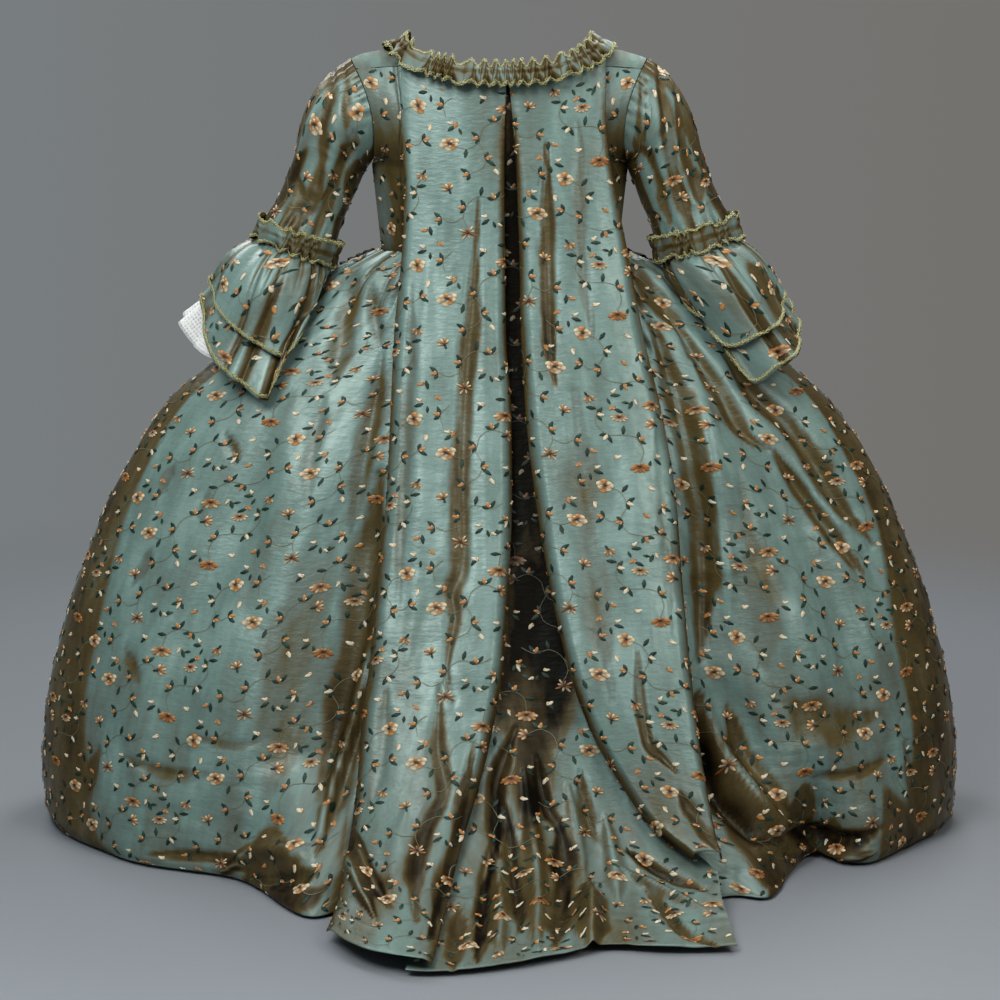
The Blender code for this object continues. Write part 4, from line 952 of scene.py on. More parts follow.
def silk(name, painted_shade=0.0, smooth=0.29, gloss=0.52):
    """Shot taffeta: a teal weft over an olive-brown warp. An attribute says how far the warp shows, and it also carries
    painted shade: its high end paints turned flanks, creases, turned sides and the slit between the pleats olive, brown
    and near black. The first number after the name moves the whole cloth that way, as painted shade.
    """
    m, nodes, links, shader = new_material(name)
    uv = nodes.new("ShaderNodeUVMap")
    uv.uv_map = "cloth"
    uv = uv.outputs["UV"]
    a = nodes.new("ShaderNodeAttribute")
    a.attribute_name = "shot_and_shade"
    ragged = cloth_noise(nodes, links, uv, 1.0, 0.45, 85.0, 2.0, 0.62)
    broad = cloth_noise(nodes, links, uv, 1.0, 0.6, 9.0, 0.0, 0.5)
    x = math_node(nodes, links, "ADD", a.outputs["Fac"], math_node(nodes, links, "MULTIPLY", math_node(nodes, links, "SUBTRACT", ragged, 0.5), 0.30))
    x = math_node(nodes, links, "ADD", x, math_node(nodes, links, "MULTIPLY", math_node(nodes, links, "SUBTRACT", broad, 0.5), 0.40))
    # painted sheen: random streaks, long down the cloth, paint paler teal and greyer bands like the satin sheen along
    # folds
    painted_sheen_streaks = cloth_noise(nodes, links, uv, 1.0, 0.26, 21.0, 2.0, 0.5)
    painted_sheen_streaks = math_node(nodes, links, "MULTIPLY", math_node(nodes, links, "SUBTRACT", painted_sheen_streaks, 0.47), 3.4)
    painted_sheen_streaks = math_node(nodes, links, "MINIMUM", math_node(nodes, links, "MAXIMUM", painted_sheen_streaks, -0.5), 0.5)
    x = math_node(nodes, links, "ADD", x, math_node(nodes, links, "MULTIPLY", painted_sheen_streaks, 0.27))
    x = math_node(nodes, links, "ADD", x, painted_shade)
    x = math_node(nodes, links, "MULTIPLY", math_node(nodes, links, "ADD", x, 0.10), 0.80)
    # the ramp's darker end, from brown to near black, is painted shade for deep creases and the slit between the pleats
    r = ramp(nodes, [(0.00, TEAL_PALE), (0.13, TEAL), (0.31, GREY), (0.43, (0.074, 0.078, 0.052)), (0.52, OLIVE), (0.68, (0.046, 0.032, 0.011)), (0.86, SHADE_BROWN), (1.0, (0.004, 0.003, 0.002))])
    links.new(x, r.inputs["Fac"])
    links.new(r.outputs["Color"], shader.inputs["Base Color"])
    rough = math_node(nodes, links, "ADD", math_node(nodes, links, "MULTIPLY", ragged, 0.20), smooth)
    links.new(rough, shader.inputs["Roughness"])
    dimming = math_node(nodes, links, "SUBTRACT", gloss, math_node(nodes, links, "MULTIPLY", x, 0.50))
    links.new(math_node(nodes, links, "MAXIMUM", dimming, 0.04), shader.inputs["Specular IOR Level"])
    shader.inputs["Specular Tint"].default_value = (0.86, 1.0, 0.94, 1)
    fine = cloth_noise(nodes, links, uv, 0.45, 1.0, 120.0, 2.0, 0.6)
    height = math_node(nodes, links, "MULTIPLY", fine, 0.0012)
    bump = nodes.new("ShaderNodeBump")
    bump.inputs["Strength"].default_value = 0.75
    bump.inputs["Distance"].default_value = 1.0
    links.new(height, bump.inputs["Height"])
    links.new(bump.outputs["Normal"], shader.inputs["Normal"])
    return m


def thread_material():
    """Satin stitch: each motif keeps its own thread colour, with fine strands along it."""
    m, nodes, links, shader = new_material("embroidery_thread")
    a = nodes.new("ShaderNodeAttribute")
    a.attribute_name = "thread"
    uv = nodes.new("ShaderNodeUVMap")
    uv.uv_map = "cloth"
    strands = cloth_noise(nodes, links, uv.outputs["UV"], 1.0, 0.5, 1900.0, 2.0, 0.6)
    shade = math_node(nodes, links, "ADD", math_node(nodes, links, "MULTIPLY", strands, 0.55), 0.72)
    mix = nodes.new("ShaderNodeVectorMath")
    mix.operation = "SCALE"
    links.new(a.outputs["Color"], mix.inputs[0])
    links.new(shade, mix.inputs["Scale"])
    links.new(mix.outputs["Vector"], shader.inputs["Base Color"])
    shader.inputs["Roughness"].default_value = 0.5
    shader.inputs["Specular IOR Level"].default_value = 0.22
    bump = nodes.new("ShaderNodeBump")
    bump.inputs["Strength"].default_value = 0.5
    bump.inputs["Distance"].default_value = 0.0006
    links.new(strands, bump.inputs["Height"])
    links.new(bump.outputs["Normal"], shader.inputs["Normal"])
    return m


def braid_material():
    m, nodes, links, shader = new_material("braid")
    where = nodes.new("ShaderNodeTexCoord")
    t = nodes.new("ShaderNodeTexNoise")
    t.inputs["Scale"].default_value = 420.0
    t.inputs["Detail"].default_value = 2.0
    links.new(where.outputs["Object"], t.inputs["Vector"])
    r = ramp(nodes, [(0.28, (0.115, 0.110, 0.042)), (0.50, (0.270, 0.262, 0.115)), (0.72, (0.460, 0.445, 0.240))])
    links.new(t.outputs["Fac"], r.inputs["Fac"])
    links.new(r.outputs["Color"], shader.inputs["Base Color"])
    shader.inputs["Roughness"].default_value = 0.55
    bump = nodes.new("ShaderNodeBump")
    bump.inputs["Strength"].default_value = 0.6
    bump.inputs["Distance"].default_value = 0.0006
    links.new(t.outputs["Fac"], bump.inputs["Height"])
    links.new(bump.outputs["Normal"], shader.inputs["Normal"])
    return m


def lace_material():
    """White open-work: eyelets all over fine gathered linen."""
    m, nodes, links, shader = new_material("lace")
    uv = nodes.new("ShaderNodeUVMap")
    uv.uv_map = "cloth"
    v = nodes.new("ShaderNodeTexVoronoi")
    v.inputs["Scale"].default_value = 230.0
    v.inputs["Randomness"].default_value = 0.25
    links.new(uv.outputs["UV"], v.inputs["Vector"])
    r = ramp(nodes, [(0.14, (0.30, 0.31, 0.31)), (0.26, (0.52, 0.53, 0.52)), (0.6, (0.64, 0.64, 0.63))])
    links.new(v.outputs["Distance"], r.inputs["Fac"])
    links.new(r.outputs["Color"], shader.inputs["Base Color"])
    shader.inputs["Roughness"].default_value = 0.85
    bump = nodes.new("ShaderNodeBump")
    bump.inputs["Strength"].default_value = 0.7
    bump.inputs["Distance"].default_value = 0.0010
    links.new(v.outputs["Distance"], bump.inputs["Height"])
    links.new(bump.outputs["Normal"], shader.inputs["Normal"])
    return m


# ---------------------------------------------------------------- embroidery
CREAM, IVORY = (0.58, 0.46, 0.29), (0.54, 0.52, 0.42)
APRICOT, ORANGE = (0.42, 0.205, 0.066), (0.31, 0.118, 0.028)
RUST, CORE = (0.085, 0.032, 0.011), (0.016, 0.009, 0.005)
GREEN, GREEN_LIGHT = (0.004, 0.018, 0.012), (0.020, 0.048, 0.028)
STEM = (0.125, 0.120, 0.070)


class Chart:
    """Motifs of one repeat, as small raised shapes: points (across, down, height), triangles and thread colours."""

    def __init__(self):
        self.points, self.faces, self.colours = [], [], []

    def shape(self, points, faces, colours):
        k = len(self.points)
        self.points += points
        self.colours += colours
        self.faces += [(a + k, b + k, c + k) for a, b, c in faces]

    def petal(self, x, y, angle, length, width, base, tip, high=0.0011, blunt=0.5, squash=1.0, edge=0.58):
        """A stitched oval from (x, y) along angle (degrees, 0 across, 90 down)."""
        ca, sa = math.cos(math.radians(angle)), math.sin(math.radians(angle))
        rows = ((0.12, 0.46), (0.50, 1.04), (0.87, 0.66 + 0.25 * blunt))
        pts, col = [(0.0, 0.0, 0.0)], [base]
        for a, w in rows:
            c = tuple(base[i] + (tip[i] - base[i]) * ease(np.float64((a - 0.22) / 0.66)) for i in range(3))
            for side in (-1, 0, 1):
                pts.append((a * length, side * w * width / 2, high * (1.0 if side == 0 else 0.15)))
                col.append(tuple(v * (1.0 if side == 0 else edge) for v in c))
        pts.append((length * (1.0 + 0.02 * blunt), 0.0, 0.0))
        col.append(tip)
        faces = [(0, 1, 2), (0, 2, 3)]
        for r in range(len(rows) - 1):
            a = 1 + 3 * r
            faces += [(a, a + 3, a + 4), (a, a + 4, a + 1), (a + 1, a + 4, a + 5), (a + 1, a + 5, a + 2)]
        a = 1 + 3 * (len(rows) - 1)
        faces += [(a, a + 3, a + 1), (a + 1, a + 3, a + 2)]
        pts = [(x + (p * ca - q * sa), y + (p * sa + q * ca) * squash, h) for p, q, h in pts]
        self.shape(pts, faces, col)

    def disc(self, x, y, r, colour, high=0.0016, squash=0.75):
        n = 8
        pts = [(x, y, high)] + [(x + r * math.cos(2 * math.pi * i / n), y + squash * r * math.sin(2 * math.pi * i / n), high * 0.75) for i in range(n)]
        self.shape(pts, [(0, 1 + i, 1 + (i + 1) % n) for i in range(n)], [colour] * (n + 1))

    def stem(self, line, width=0.0009, colour=STEM):
        """A thin stitched line through the points, drawn as a smooth curve."""
        line = np.array(line)
        n = len(line)
        fine = []
        for i in range(n - 1):
            p0, p1, p2, p3 = line[max(i - 1, 0)], line[i], line[i + 1], line[min(i + 2, n - 1)]
            for t in np.linspace(0, 1, 7)[: 7 if i == n - 2 else 6]:
                fine.append(0.5 * (2 * p1 + (p2 - p0) * t + (2 * p0 - 5 * p1 + 4 * p2 - p3) * t**2 + (3 * p1 - p0 - 3 * p2 + p3) * t**3))
        fine = np.array(fine)
        d = np.gradient(fine, axis=0)
        side = np.stack([-d[:, 1], d[:, 0]], 1) / np.maximum(np.linalg.norm(d, axis=1, keepdims=True), 1e-9)
        pts = []
        for p, q in zip(fine, side):
            for k in (-0.5, 0.5):
                pts.append((p[0] + q[0] * width * k, p[1] + q[1] * width * k, 0.0004))
        faces = []
        for i in range(len(fine) - 1):
            a = 2 * i
            faces += [(a, a + 2, a + 3), (a, a + 3, a + 1)]
        self.shape(pts, faces, [colour] * len(pts))

    def leaf(self, x, y, angle, length=0.0180, width=0.0070):
        self.petal(x, y, angle, length, width, GREEN, GREEN_LIGHT if (int(x * 1000) % 3 == 0) else GREEN, 0.0009, -0.6, 0.92, 0.8)

    def bud(self, x, y, angle, warm=True, length=0.0135, width=0.0062):
        self.petal(x, y, angle, length, width, (ORANGE if warm else CREAM), (APRICOT if warm else IVORY), 0.0013, -0.1, 0.92, 0.72)
        self.petal(x, y, angle - 34, 0.55 * length, 0.7 * width, (RUST if warm else APRICOT), (CREAM if warm else IVORY), 0.0016, -0.1, 0.92, 0.72)

    def rosette(self, x, y, size=0.0150, turn=0.0, tips=(CREAM, APRICOT, CREAM)):
        """A round flower seen from above, its petals apart from each other."""
        for i in range(7):
            a = turn + 51.4 * i + 11 * math.sin(3 * i + turn)
            self.petal(x, y, a, size * (1.0 + 0.17 * math.sin(2.3 * i + turn)), size * 0.84, RUST, tips[i % 3], 0.0012, 0.9, 0.68)
        for i in range(5):
            a = turn + 26 + 72 * i
            self.petal(x, y, a, size * 0.60, size * 0.46, CORE, ORANGE if i % 2 else tips[0], 0.0021, 1.0, 0.68)
        self.disc(x, y, size * 0.19, CORE, 0.0025, 0.6)

    def open_flower(self, x, y, size=0.0175, turn=0.0, tips=(CREAM, APRICOT)):
        """A wide flower seen a little from the side, its lower petals longest."""
        for i, (a, k, w) in enumerate(((200, 0.84, 0.46), (235, 0.62, 0.42), (270, 0.56, 0.40), (305, 0.62, 0.42), (340, 0.84, 0.46))):
            self.petal(x, y, a + turn, size * k, size * w, CORE, ORANGE if i % 2 else APRICOT, 0.0010, 0.8, 0.68)
        for i, (a, k, w) in enumerate(((4, 1.06, 0.42), (36, 0.98, 0.44), (72, 0.84, 0.42), (108, 0.84, 0.42), (144, 0.98, 0.44), (176, 1.06, 0.42))):
            self.petal(x, y, a + turn, size * k, size * w, RUST, tips[i % 2], 0.0017, 0.8, 0.68)
        self.disc(x - 0.001, y - 0.001, size * 0.20, CORE, 0.0024, 0.5)

    def daisy(self, x, y, size=0.0145, turn=0.0):
        for i in range(8):
            self.petal(x, y, turn + 45 * i + 8 * math.sin(5 * i), size * (0.82 + 0.30 * (i % 2)), size * 0.30, RUST, CREAM if i % 3 else ORANGE, 0.0014, 0.2, 0.76)
        self.disc(x, y, size * 0.16, CORE, 0.0020)

    def cup(self, x, y, angle, size=0.0165):
        """A flower seen from the side, opening along angle."""
        for d, k in ((-58, 0.78), (58, 0.78), (-30, 1.0), (30, 1.0), (0, 0.88)):
            self.petal(x, y, angle + d, size * k, size * 0.34, RUST, CREAM if abs(d) != 30 else APRICOT, 0.0016, 0.4, 0.84)
        self.petal(x, y, angle + 12, size * 0.50, size * 0.22, CORE, ORANGE, 0.0022, 0.3, 0.84)
        self.leaf(x, y, angle + 168, 0.0085, 0.0045)
        self.disc(x, y, size * 0.13, CORE, 0.0022)

    def trio(self, x, y, angle):
        """A pair of leaves with a bud between them."""
        self.leaf(x, y, angle - 50)
        self.leaf(x, y, angle + 54, 0.0140)
        self.bud(x, y, angle + 4, int(1000 * (x + y)) % 2 == 0)


REPEAT_ACROSS, REPEAT_DOWN = 0.250, 0.262


def repeat():
    """One repeat of a small climbing-flower pattern."""
    c = Chart()
    # long curling stems
    c.stem([(0.030, 0.012), (0.052, 0.020), (0.062, 0.044), (0.050, 0.066), (0.058, 0.090), (0.084, 0.098)])
    c.stem([(0.084, 0.098), (0.110, 0.094), (0.128, 0.106), (0.130, 0.130)])
    c.stem([(0.130, 0.020), (0.152, 0.030), (0.176, 0.024), (0.196, 0.036), (0.204, 0.060), (0.192, 0.082)])
    c.stem([(0.204, 0.060), (0.222, 0.068), (0.238, 0.062)], 0.0010)
    c.stem([(0.020, 0.122), (0.034, 0.140), (0.030, 0.164), (0.046, 0.184), (0.072, 0.186)])
    c.stem([(0.072, 0.186), (0.094, 0.192), (0.102, 0.214), (0.092, 0.236)])
    c.stem([(0.128, 0.166), (0.150, 0.158), (0.170, 0.170), (0.178, 0.194), (0.198, 0.206), (0.222, 0.200)])
    c.stem([(0.178, 0.194), (0.166, 0.216), (0.172, 0.238), (0.192, 0.248)])
    c.stem([(0.222, 0.118), (0.236, 0.132), (0.232, 0.152)], 0.0010)
    c.stem([(0.050, 0.066), (0.034, 0.072), (0.022, 0.064)], 0.0009)
    # flowers
    warm, pale = (APRICOT, ORANGE, CREAM), (CREAM, CREAM, APRICOT)
    c.rosette(0.030, 0.010, 0.0155, 10, pale)
    c.open_flower(0.130, 0.134, 0.0180, 0)
    c.daisy(0.196, 0.086, 0.0150, 20)
    c.cup(0.022, 0.118, 70, 0.0150)
    c.open_flower(0.092, 0.242, 0.0172, -12, (APRICOT, ORANGE))
    c.cup(0.128, 0.168, 200, 0.0170)
    c.rosette(0.226, 0.198, 0.0160, 70)
    c.leaf(0.120, 0.048, 20, 0.0180, 0.0075)
    c.leaf(0.120, 0.048, 120, 0.0150, 0.0065)
    c.bud(0.120, 0.048, 70, False, 0.0150, 0.0055)
    c.bud(0.120, 0.048, -40, True, 0.0130, 0.0055)
    c.cup(0.228, 0.014, -60, 0.0155)
    c.open_flower(0.070, 0.156, 0.0140, 14, (CREAM, CREAM))
    # leaves and buds
    for x, y, a in ((0.061, 0.040, 20), (0.052, 0.072, 170), (0.084, 0.098, 60), (0.152, 0.030, -70), (0.200, 0.044, -10),
                    (0.240, 0.062, 10), (0.033, 0.150, 0), (0.046, 0.184, 120), (0.096, 0.196, -30), (0.150, 0.158, -80),
                    (0.176, 0.186, 10), (0.168, 0.222, 190), (0.194, 0.248, 20), (0.236, 0.134, -20), (0.022, 0.064, 200),
                    (0.110, 0.094, -60)):
        c.trio(x, y, a)
    for x, y, a in ((0.096, 0.128, 120), (0.216, 0.166, 40), (0.144, 0.072, 200), (0.014, 0.246, 20), (0.118, 0.226, 40), (0.060, 0.118, 0), (0.160, 0.062, 40)):
        c.leaf(x, y, a, 0.0175, 0.0072)
        c.leaf(x - 0.006, y + 0.004, a + 70, 0.0130, 0.0055)
        c.bud(x + 0.003, y - 0.003, a - 50, False, 0.0120, 0.0048)
    for x, y, a in ((0.176, 0.024, -100), (0.198, 0.206, 80), (0.072, 0.186, -80), (0.034, 0.140, 190), (0.128, 0.106, 0),
                    (0.056, 0.022, -50), (0.166, 0.112, 60), (0.062, 0.140, 30), (0.010, 0.206, 100), (0.150, 0.236, -40)):
        c.leaf(x, y, a)
    for x, y, a, warm in ((0.086, 0.060, 30, True), (0.164, 0.118, -30, False), (0.066, 0.136, 150, True), (0.008, 0.036, 80, False),
                          (0.012, 0.212, 10, True), (0.212, 0.160, 60, True), (0.152, 0.240, 120, False), (0.100, 0.014, 20, False),
                          (0.246, 0.100, 140, True), (0.052, 0.226, -20, False)):
        c.bud(x, y, a, warm)
    return np.array(c.points), np.array(c.faces), np.array(c.colours)


def embroidery(name, panel, chart, material, shift=(0.0, 0.0), v_range=(0.0, 1.0)):
    """The repeat laid out over a panel's flat cloth and stitched onto its folded form."""
    pts, tri, col = chart
    s0, s1, t1 = panel.s.min(), panel.s.max(), panel.t_row[-1]
    all_p, all_f, all_c, all_uv, k = [], [], [], [], 0
    low, high = panel.length_at(v_range[0]), panel.length_at(v_range[1])
    for a in range(int(math.floor((s0 - shift[0]) / REPEAT_ACROSS)) - 1, int(math.ceil((s1 - shift[0]) / REPEAT_ACROSS)) + 1):
        for b in range(-2, int(math.ceil(t1 / REPEAT_DOWN)) + 2):
            s = pts[:, 0] + shift[0] + a * REPEAT_ACROSS
            t = pts[:, 1] + shift[1] + b * REPEAT_DOWN + (0.5 * REPEAT_DOWN if a % 2 else 0)
            if t.max() < low or t.min() > high or s.min() > s1 or s.max() < s0:
                continue
            p, n, ok = panel.at(s, t)
            ok &= (t >= low) & (t <= high)
            keep = ok[tri].all(axis=1)
            if not keep.any():
                continue
            used, where = np.unique(tri[keep], return_inverse=True)
            all_p.append(p[used] + n[used] * (0.0007 + 1.15 * pts[used, 2])[:, None])
            all_c.append(col[used])
            all_uv.append(np.stack([s[used], t[used]], 1))
            all_f.append(where.reshape(-1, 3) + k)
            k += len(used)
    piece = make_mesh(name, np.concatenate(all_p), np.concatenate(all_f), material, np.concatenate(all_uv), colour=np.concatenate(all_c))
    return add_piece(piece, ())


# ---------------------------------------------------------------- gathers and braid
def gathered(surface, us, vs, count, deep, closed=False, seed=1, spread=0.5, frill=0.0028):
    """A ruffle stitched down along its middle line (v = 0.5), with both edges free and wavy."""
    panel = Panel(surface, us, vs, closed)
    u, v = panel.u, panel.v
    m = 2 * v - 1
    n = noise(u * count * 0.5, 0 * u, seed) if not closed else noise(np.abs(u % 1 - 0.5) * count, 0 * u, seed)
    phase = 2 * math.pi * (count * u + spread * (n - 0.5) * 2)
    size = 0.65 + 0.7 * (noise(u * count * 0.8 + 9, 0 * u, seed + 3) if not closed else 0.5 + 0.4 * np.sin(2 * math.pi * 5 * u))
    edge = np.abs(m) ** 1.25
    wave = np.sin(phase + 0.9 * np.sign(m)) * size
    small = (2 * np.abs(np.sin(phase)) ** 0.8 - 1) * (1 - edge)
    high = deep * edge * wave * (0.75 + 0.5 * n) + 0.22 * deep * small - 0.0018 * np.exp(-((m / 0.13) ** 2))
    across = panel.p[:, -1:] - panel.p[:, :1]
    across = across / np.maximum(np.linalg.norm(across, axis=-1, keepdims=True), 1e-9)
    panel.p = panel.p + across * (frill * edge * np.sign(m) * np.cos(phase + 0.9 * np.sign(m)))[..., None]
    panel.displace(high, 0.85)
    # painted shade: olive in the troughs of the gathers and along the stitched middle line, plus random tone
    panel.shot_and_shade = 0.6 * panel.shot_and_shade + 0.34 * ease((-wave * edge - 0.10) / 0.6) + 0.30 * np.exp(-((m / 0.16) ** 2)) * (0.4 + n) + 0.28 * n
    return panel


def braid(name, line, normal, nodes, material, closed=False, width=0.0066, pitch=0.0056):
    """Looped gimp along a line: a row of small rings over a cord, with normals out of the cloth."""
    pts, nor = np.asarray(line), np.asarray(normal)
    if closed:
        pts, nor = np.concatenate([pts, pts[:1]]), np.concatenate([nor, nor[:1]])
    length = np.r_[0, np.cumsum(np.linalg.norm(np.diff(pts, axis=0), axis=1))]
    count = max(int(length[-1] / pitch), 4)
    at = (np.arange(count) + 0.5) / count * length[-1]
    sample = lambda a, x: np.stack([np.interp(x, length, a[:, i]) for i in range(3)], 1)
    c, n = sample(pts, at), sample(nor, at)
    t = sample(pts, np.minimum(at + 0.003, length[-1])) - sample(pts, np.maximum(at - 0.003, 0))
    t /= np.maximum(np.linalg.norm(t, axis=1, keepdims=True), 1e-9)
    n -= t * (n * t).sum(1, keepdims=True)
    n /= np.maximum(np.linalg.norm(n, axis=1, keepdims=True), 1e-9)
    b = np.cross(n, t)
    k = np.arange(count)
    c = c + b * (0.0006 * np.where(k % 2, 1, -1) + 0.0004 * np.sin(1.7 * k))[:, None] + n * 0.0008
    ring, tube = 9, 3
    a = 2 * math.pi * np.arange(ring) / ring
    e = 2 * math.pi * np.arange(tube) / tube
    a, e = np.meshgrid(a, e, indexing="ij")
    thin = 0.00078
    along = (0.0031 + thin * np.cos(e)) * np.cos(a)
    over = (width / 2 - thin + thin * np.cos(e)) * np.sin(a)
    up = thin * np.sin(e) + 0.0006 * np.sin(a)
    p = c[:, None, None] + t[:, None, None] * along[..., None] + b[:, None, None] * over[..., None] + n[:, None, None] * up[..., None]
    i, j = np.meshgrid(np.arange(ring), np.arange(tube), indexing="ij")
    quad = np.stack([i * tube + j, ((i + 1) % ring) * tube + j, ((i + 1) % ring) * tube + (j + 1) % tube, i * tube + (j + 1) % tube], -1).reshape(-1, 4)
    faces = (quad[None] + (np.arange(count) * ring * tube)[:, None, None]).reshape(-1, 4)
    # the cord under the rings
    fine = np.linspace(0, length[-1], count * 2)
    cc, cn = sample(pts, fine), sample(nor, fine)
    ct = np.gradient(cc, axis=0)
    ct /= np.maximum(np.linalg.norm(ct, axis=1, keepdims=True), 1e-9)
    cb = np.cross(cn, ct)
    r = 0.0011
    e = 2 * math.pi * np.arange(3) / 3
    cord = cc[:, None] + cb[:, None] * (1.5 * r * np.cos(e))[None, :, None] + cn[:, None] * (r * np.sin(e) + 0.0004)[None, :, None]
    base = count * ring * tube
    i, j = np.meshgrid(np.arange(len(fine) - 1), np.arange(3), indexing="ij")
    cord_faces = np.stack([i * 3 + j, (i + 1) * 3 + j, (i + 1) * 3 + (j + 1) % 3, i * 3 + (j + 1) % 3], -1).reshape(-1, 4) + base
    piece = make_mesh(name, np.concatenate([p.reshape(-1, 3), cord.reshape(-1, 3)]), np.concatenate([faces, cord_faces]), material)
    return add_piece(piece, nodes)


# ---------------------------------------------------------------- the gown
def line(*parts):
    return np.concatenate([np.linspace(a, b, n, endpoint=False) for a, b, n in parts] + [[parts[-1][1]]])


def pleat_cloth(side, u, v):
    """The sack's pleat with both edges folded right under (u below 0 and over 1)."""
    vv, inner, outer = pleat_rows(side, v)
    lift = read(SACK, SACK_COLUMNS, "lift", vv)
    s = np.clip(u, 0, 1)
    edge = np.maximum(0, 1 - s / 0.10) ** 2 + np.maximum(0, (s - 0.90) / 0.10) ** 2
    crown = (1 - (2 * s - 1) ** 2) * 0.006
    over = np.clip(np.maximum(-u, u - 1) / 0.16, 0, 1) * (1 - 0.97 * ease((v - 0.86) / 0.13))
    inward = np.where(u < 0, 1.0, -1.0) * np.sign(outer - inner)
    x = inner + (outer - inner) * s + inward * (0.032 * over - 0.0035 * np.sin(math.pi * np.minimum(over * 2.2, 1.0)))
    up = lift * (1 - 0.50 * edge) + crown * ease(v / 0.2) - 0.42 * lift * ease(over * 2.0)
    return stack(*sack_point(x, vv, up))


def bodice_back_cloth(side, u, v):
    p = bodice_back(side, u, np.minimum(v, 1.0))
    tuck = ease((v - 0.96) / 0.06)
    p[..., 2] -= 0.006 * tuck
    p[..., 0] *= 1 - 0.012 * tuck
    p[..., 1] *= 1 - 0.012 * tuck
    return p


def bodice_front_cloth(side, u, v):
    p = bodice_front(side, u, np.minimum(v, 1.0))
    tuck = ease((v - 0.96) / 0.06)
    p[..., 2] -= 0.006 * tuck
    p[..., 0] *= 1 - 0.012 * tuck
    p[..., 1] *= 1 - 0.012 * tuck
    return p


def stomacher_cloth(side, u, v):
    p = stomacher(side, u, np.minimum(v, 1.0))
    tuck = np.clip((v - 1.0) / 0.04, 0, 1)
    p[..., 2] -= 0.013 * tuck
    p[..., 1] += 0.003 * tuck
    return p


def skirt_folds(panel, creases, seed, fade_side, limit=0.68):
    """Listed folds, then the broad swells and the crisp small wrinkles that taffeta has."""
    x = np.abs(panel.p[..., 0])
    q = np.arctan2(x, panel.p[..., 1]) * 0.55
    t, v = panel.t, panel.v
    high, turned = crease_field(creases, x, t, panel.length_at, seed)
    inside = ease(fade_side / 0.05)
    high, turned = high * inside, turned * (0.3 + 0.7 * inside)
    high = high + 0.0085 * (noise(q * 10, t * 2.0, seed) - 0.5) * ease(v / 0.15) * inside
    patch = noise(q * 7, t * 5, seed + 5)
    high += 0.0030 * crumple(q * 24, t * 12, seed + 7) * ease(v / 0.1) * (0.3 + patch)
    high += 0.0026 * crumple(q * 15, t * 46, seed + 9) * ease((v - 0.30) / 0.3) * ease((patch - 0.25) / 0.4)
    high += 0.0035 * (2 * np.abs(np.sin(q * 58 + 3 * noise(q * 20, t * 3, seed + 11))) ** 0.8 - 1) * ease(1 - v / 0.16)
    smooth_n = panel.n
    panel.displace(high, 0.75)
    # painted shade towards the hem and painted light on the upper skirt, plus random tone
    panel.shot_and_shade = combine_shot_and_shade(panel.shot_and_shade, turned) + 0.22 * (noise(q * 5, t * 3, seed + 13) - 0.5) + 0.20 * ease((v - 0.60) / 0.3) - 0.09 * ease((0.80 - v) / 0.3)
    # painted shade: an olive band where the skirt turns sideways, broken by paler streaks
    painted_side_shade = ease((np.abs(smooth_n[..., 0]) / np.maximum(np.hypot(smooth_n[..., 0], smooth_n[..., 1]), 0.35) - limit - 0.10 * (patch - 0.5)) / 0.05)
    forward = smooth_n[..., 1] / np.maximum(np.hypot(smooth_n[..., 0], smooth_n[..., 1]), 0.35)
    painted_side_shade = painted_side_shade * ease((forward + 0.02 + 0.34 * (noise(q * 11, t * 2.2, seed + 21) - 0.5)) / 0.10)
    streak = ease((noise(q * 19, t * 0.9, seed + 23) + 0.30 * noise(q * 60, t * 8, seed + 25) - 0.66) / 0.10) * ease((0.34 - forward) / 0.2)
    panel.shot_and_shade = np.maximum(panel.shot_and_shade, (0.66 + 0.20 * (patch - 0.5) - 0.52 * streak) * painted_side_shade * ease((v - 0.02) / 0.1))
    panel.keep_off_floor()


def sleeve_folds(panel, side, creases, seed):
    x = np.abs(panel.p[..., 0])
    t, v = panel.t, panel.v
    back = ease((panel.n[..., 1] + 0.35) / 0.5)
    high, turned = crease_field(creases, x, t, panel.length_at)
    a = 2 * math.pi * panel.u
    ripple = noise(4 + 2.2 * np.cos(a) + v, 2.2 * np.sin(a) + 3.2 * v, seed)
    front = 0.005 * (ripple - 0.5)
    high = high * back + front
    gather = 0.0030 * (2 * np.abs(np.sin(13 * a + 2.5 * ripple)) ** 0.8 - 1) * ease(1 - v / 0.20) * ease((np.cos(a) + 0.5) / 0.6)
    low = 0.0030 * (2 * np.abs(np.sin(9 * a + 2 * ripple)) ** 0.8 - 1) * ease((v - 0.80) / 0.2)
    across = 0.0030 * crumple(1.2 * np.cos(a) + 1.2 * np.sin(a) + 3, t * 34, seed + 4) * ease((ripple - 0.3) / 0.4) * ease(np.minimum(v, 1 - v) / 0.12)
    smooth_n = panel.n
    panel.displace(high + gather + low + across, 0.85)
    # painted shade: olive where the sleeve turns away sideways and along the creases on its back, plus random tone
    painted_rim_shade = ease((0.68 - np.abs(smooth_n[..., 1]) + 0.42 * (noise(3 * np.cos(a) + 7, 3 * np.sin(a) + 5 * v, seed + 9) - 0.5)) / 0.10)
    panel.shot_and_shade = combine_shot_and_shade(combine_shot_and_shade(panel.shot_and_shade, turned * back), 0.64 * painted_rim_shade) + 0.30 * (ripple - 0.5) + 0.10


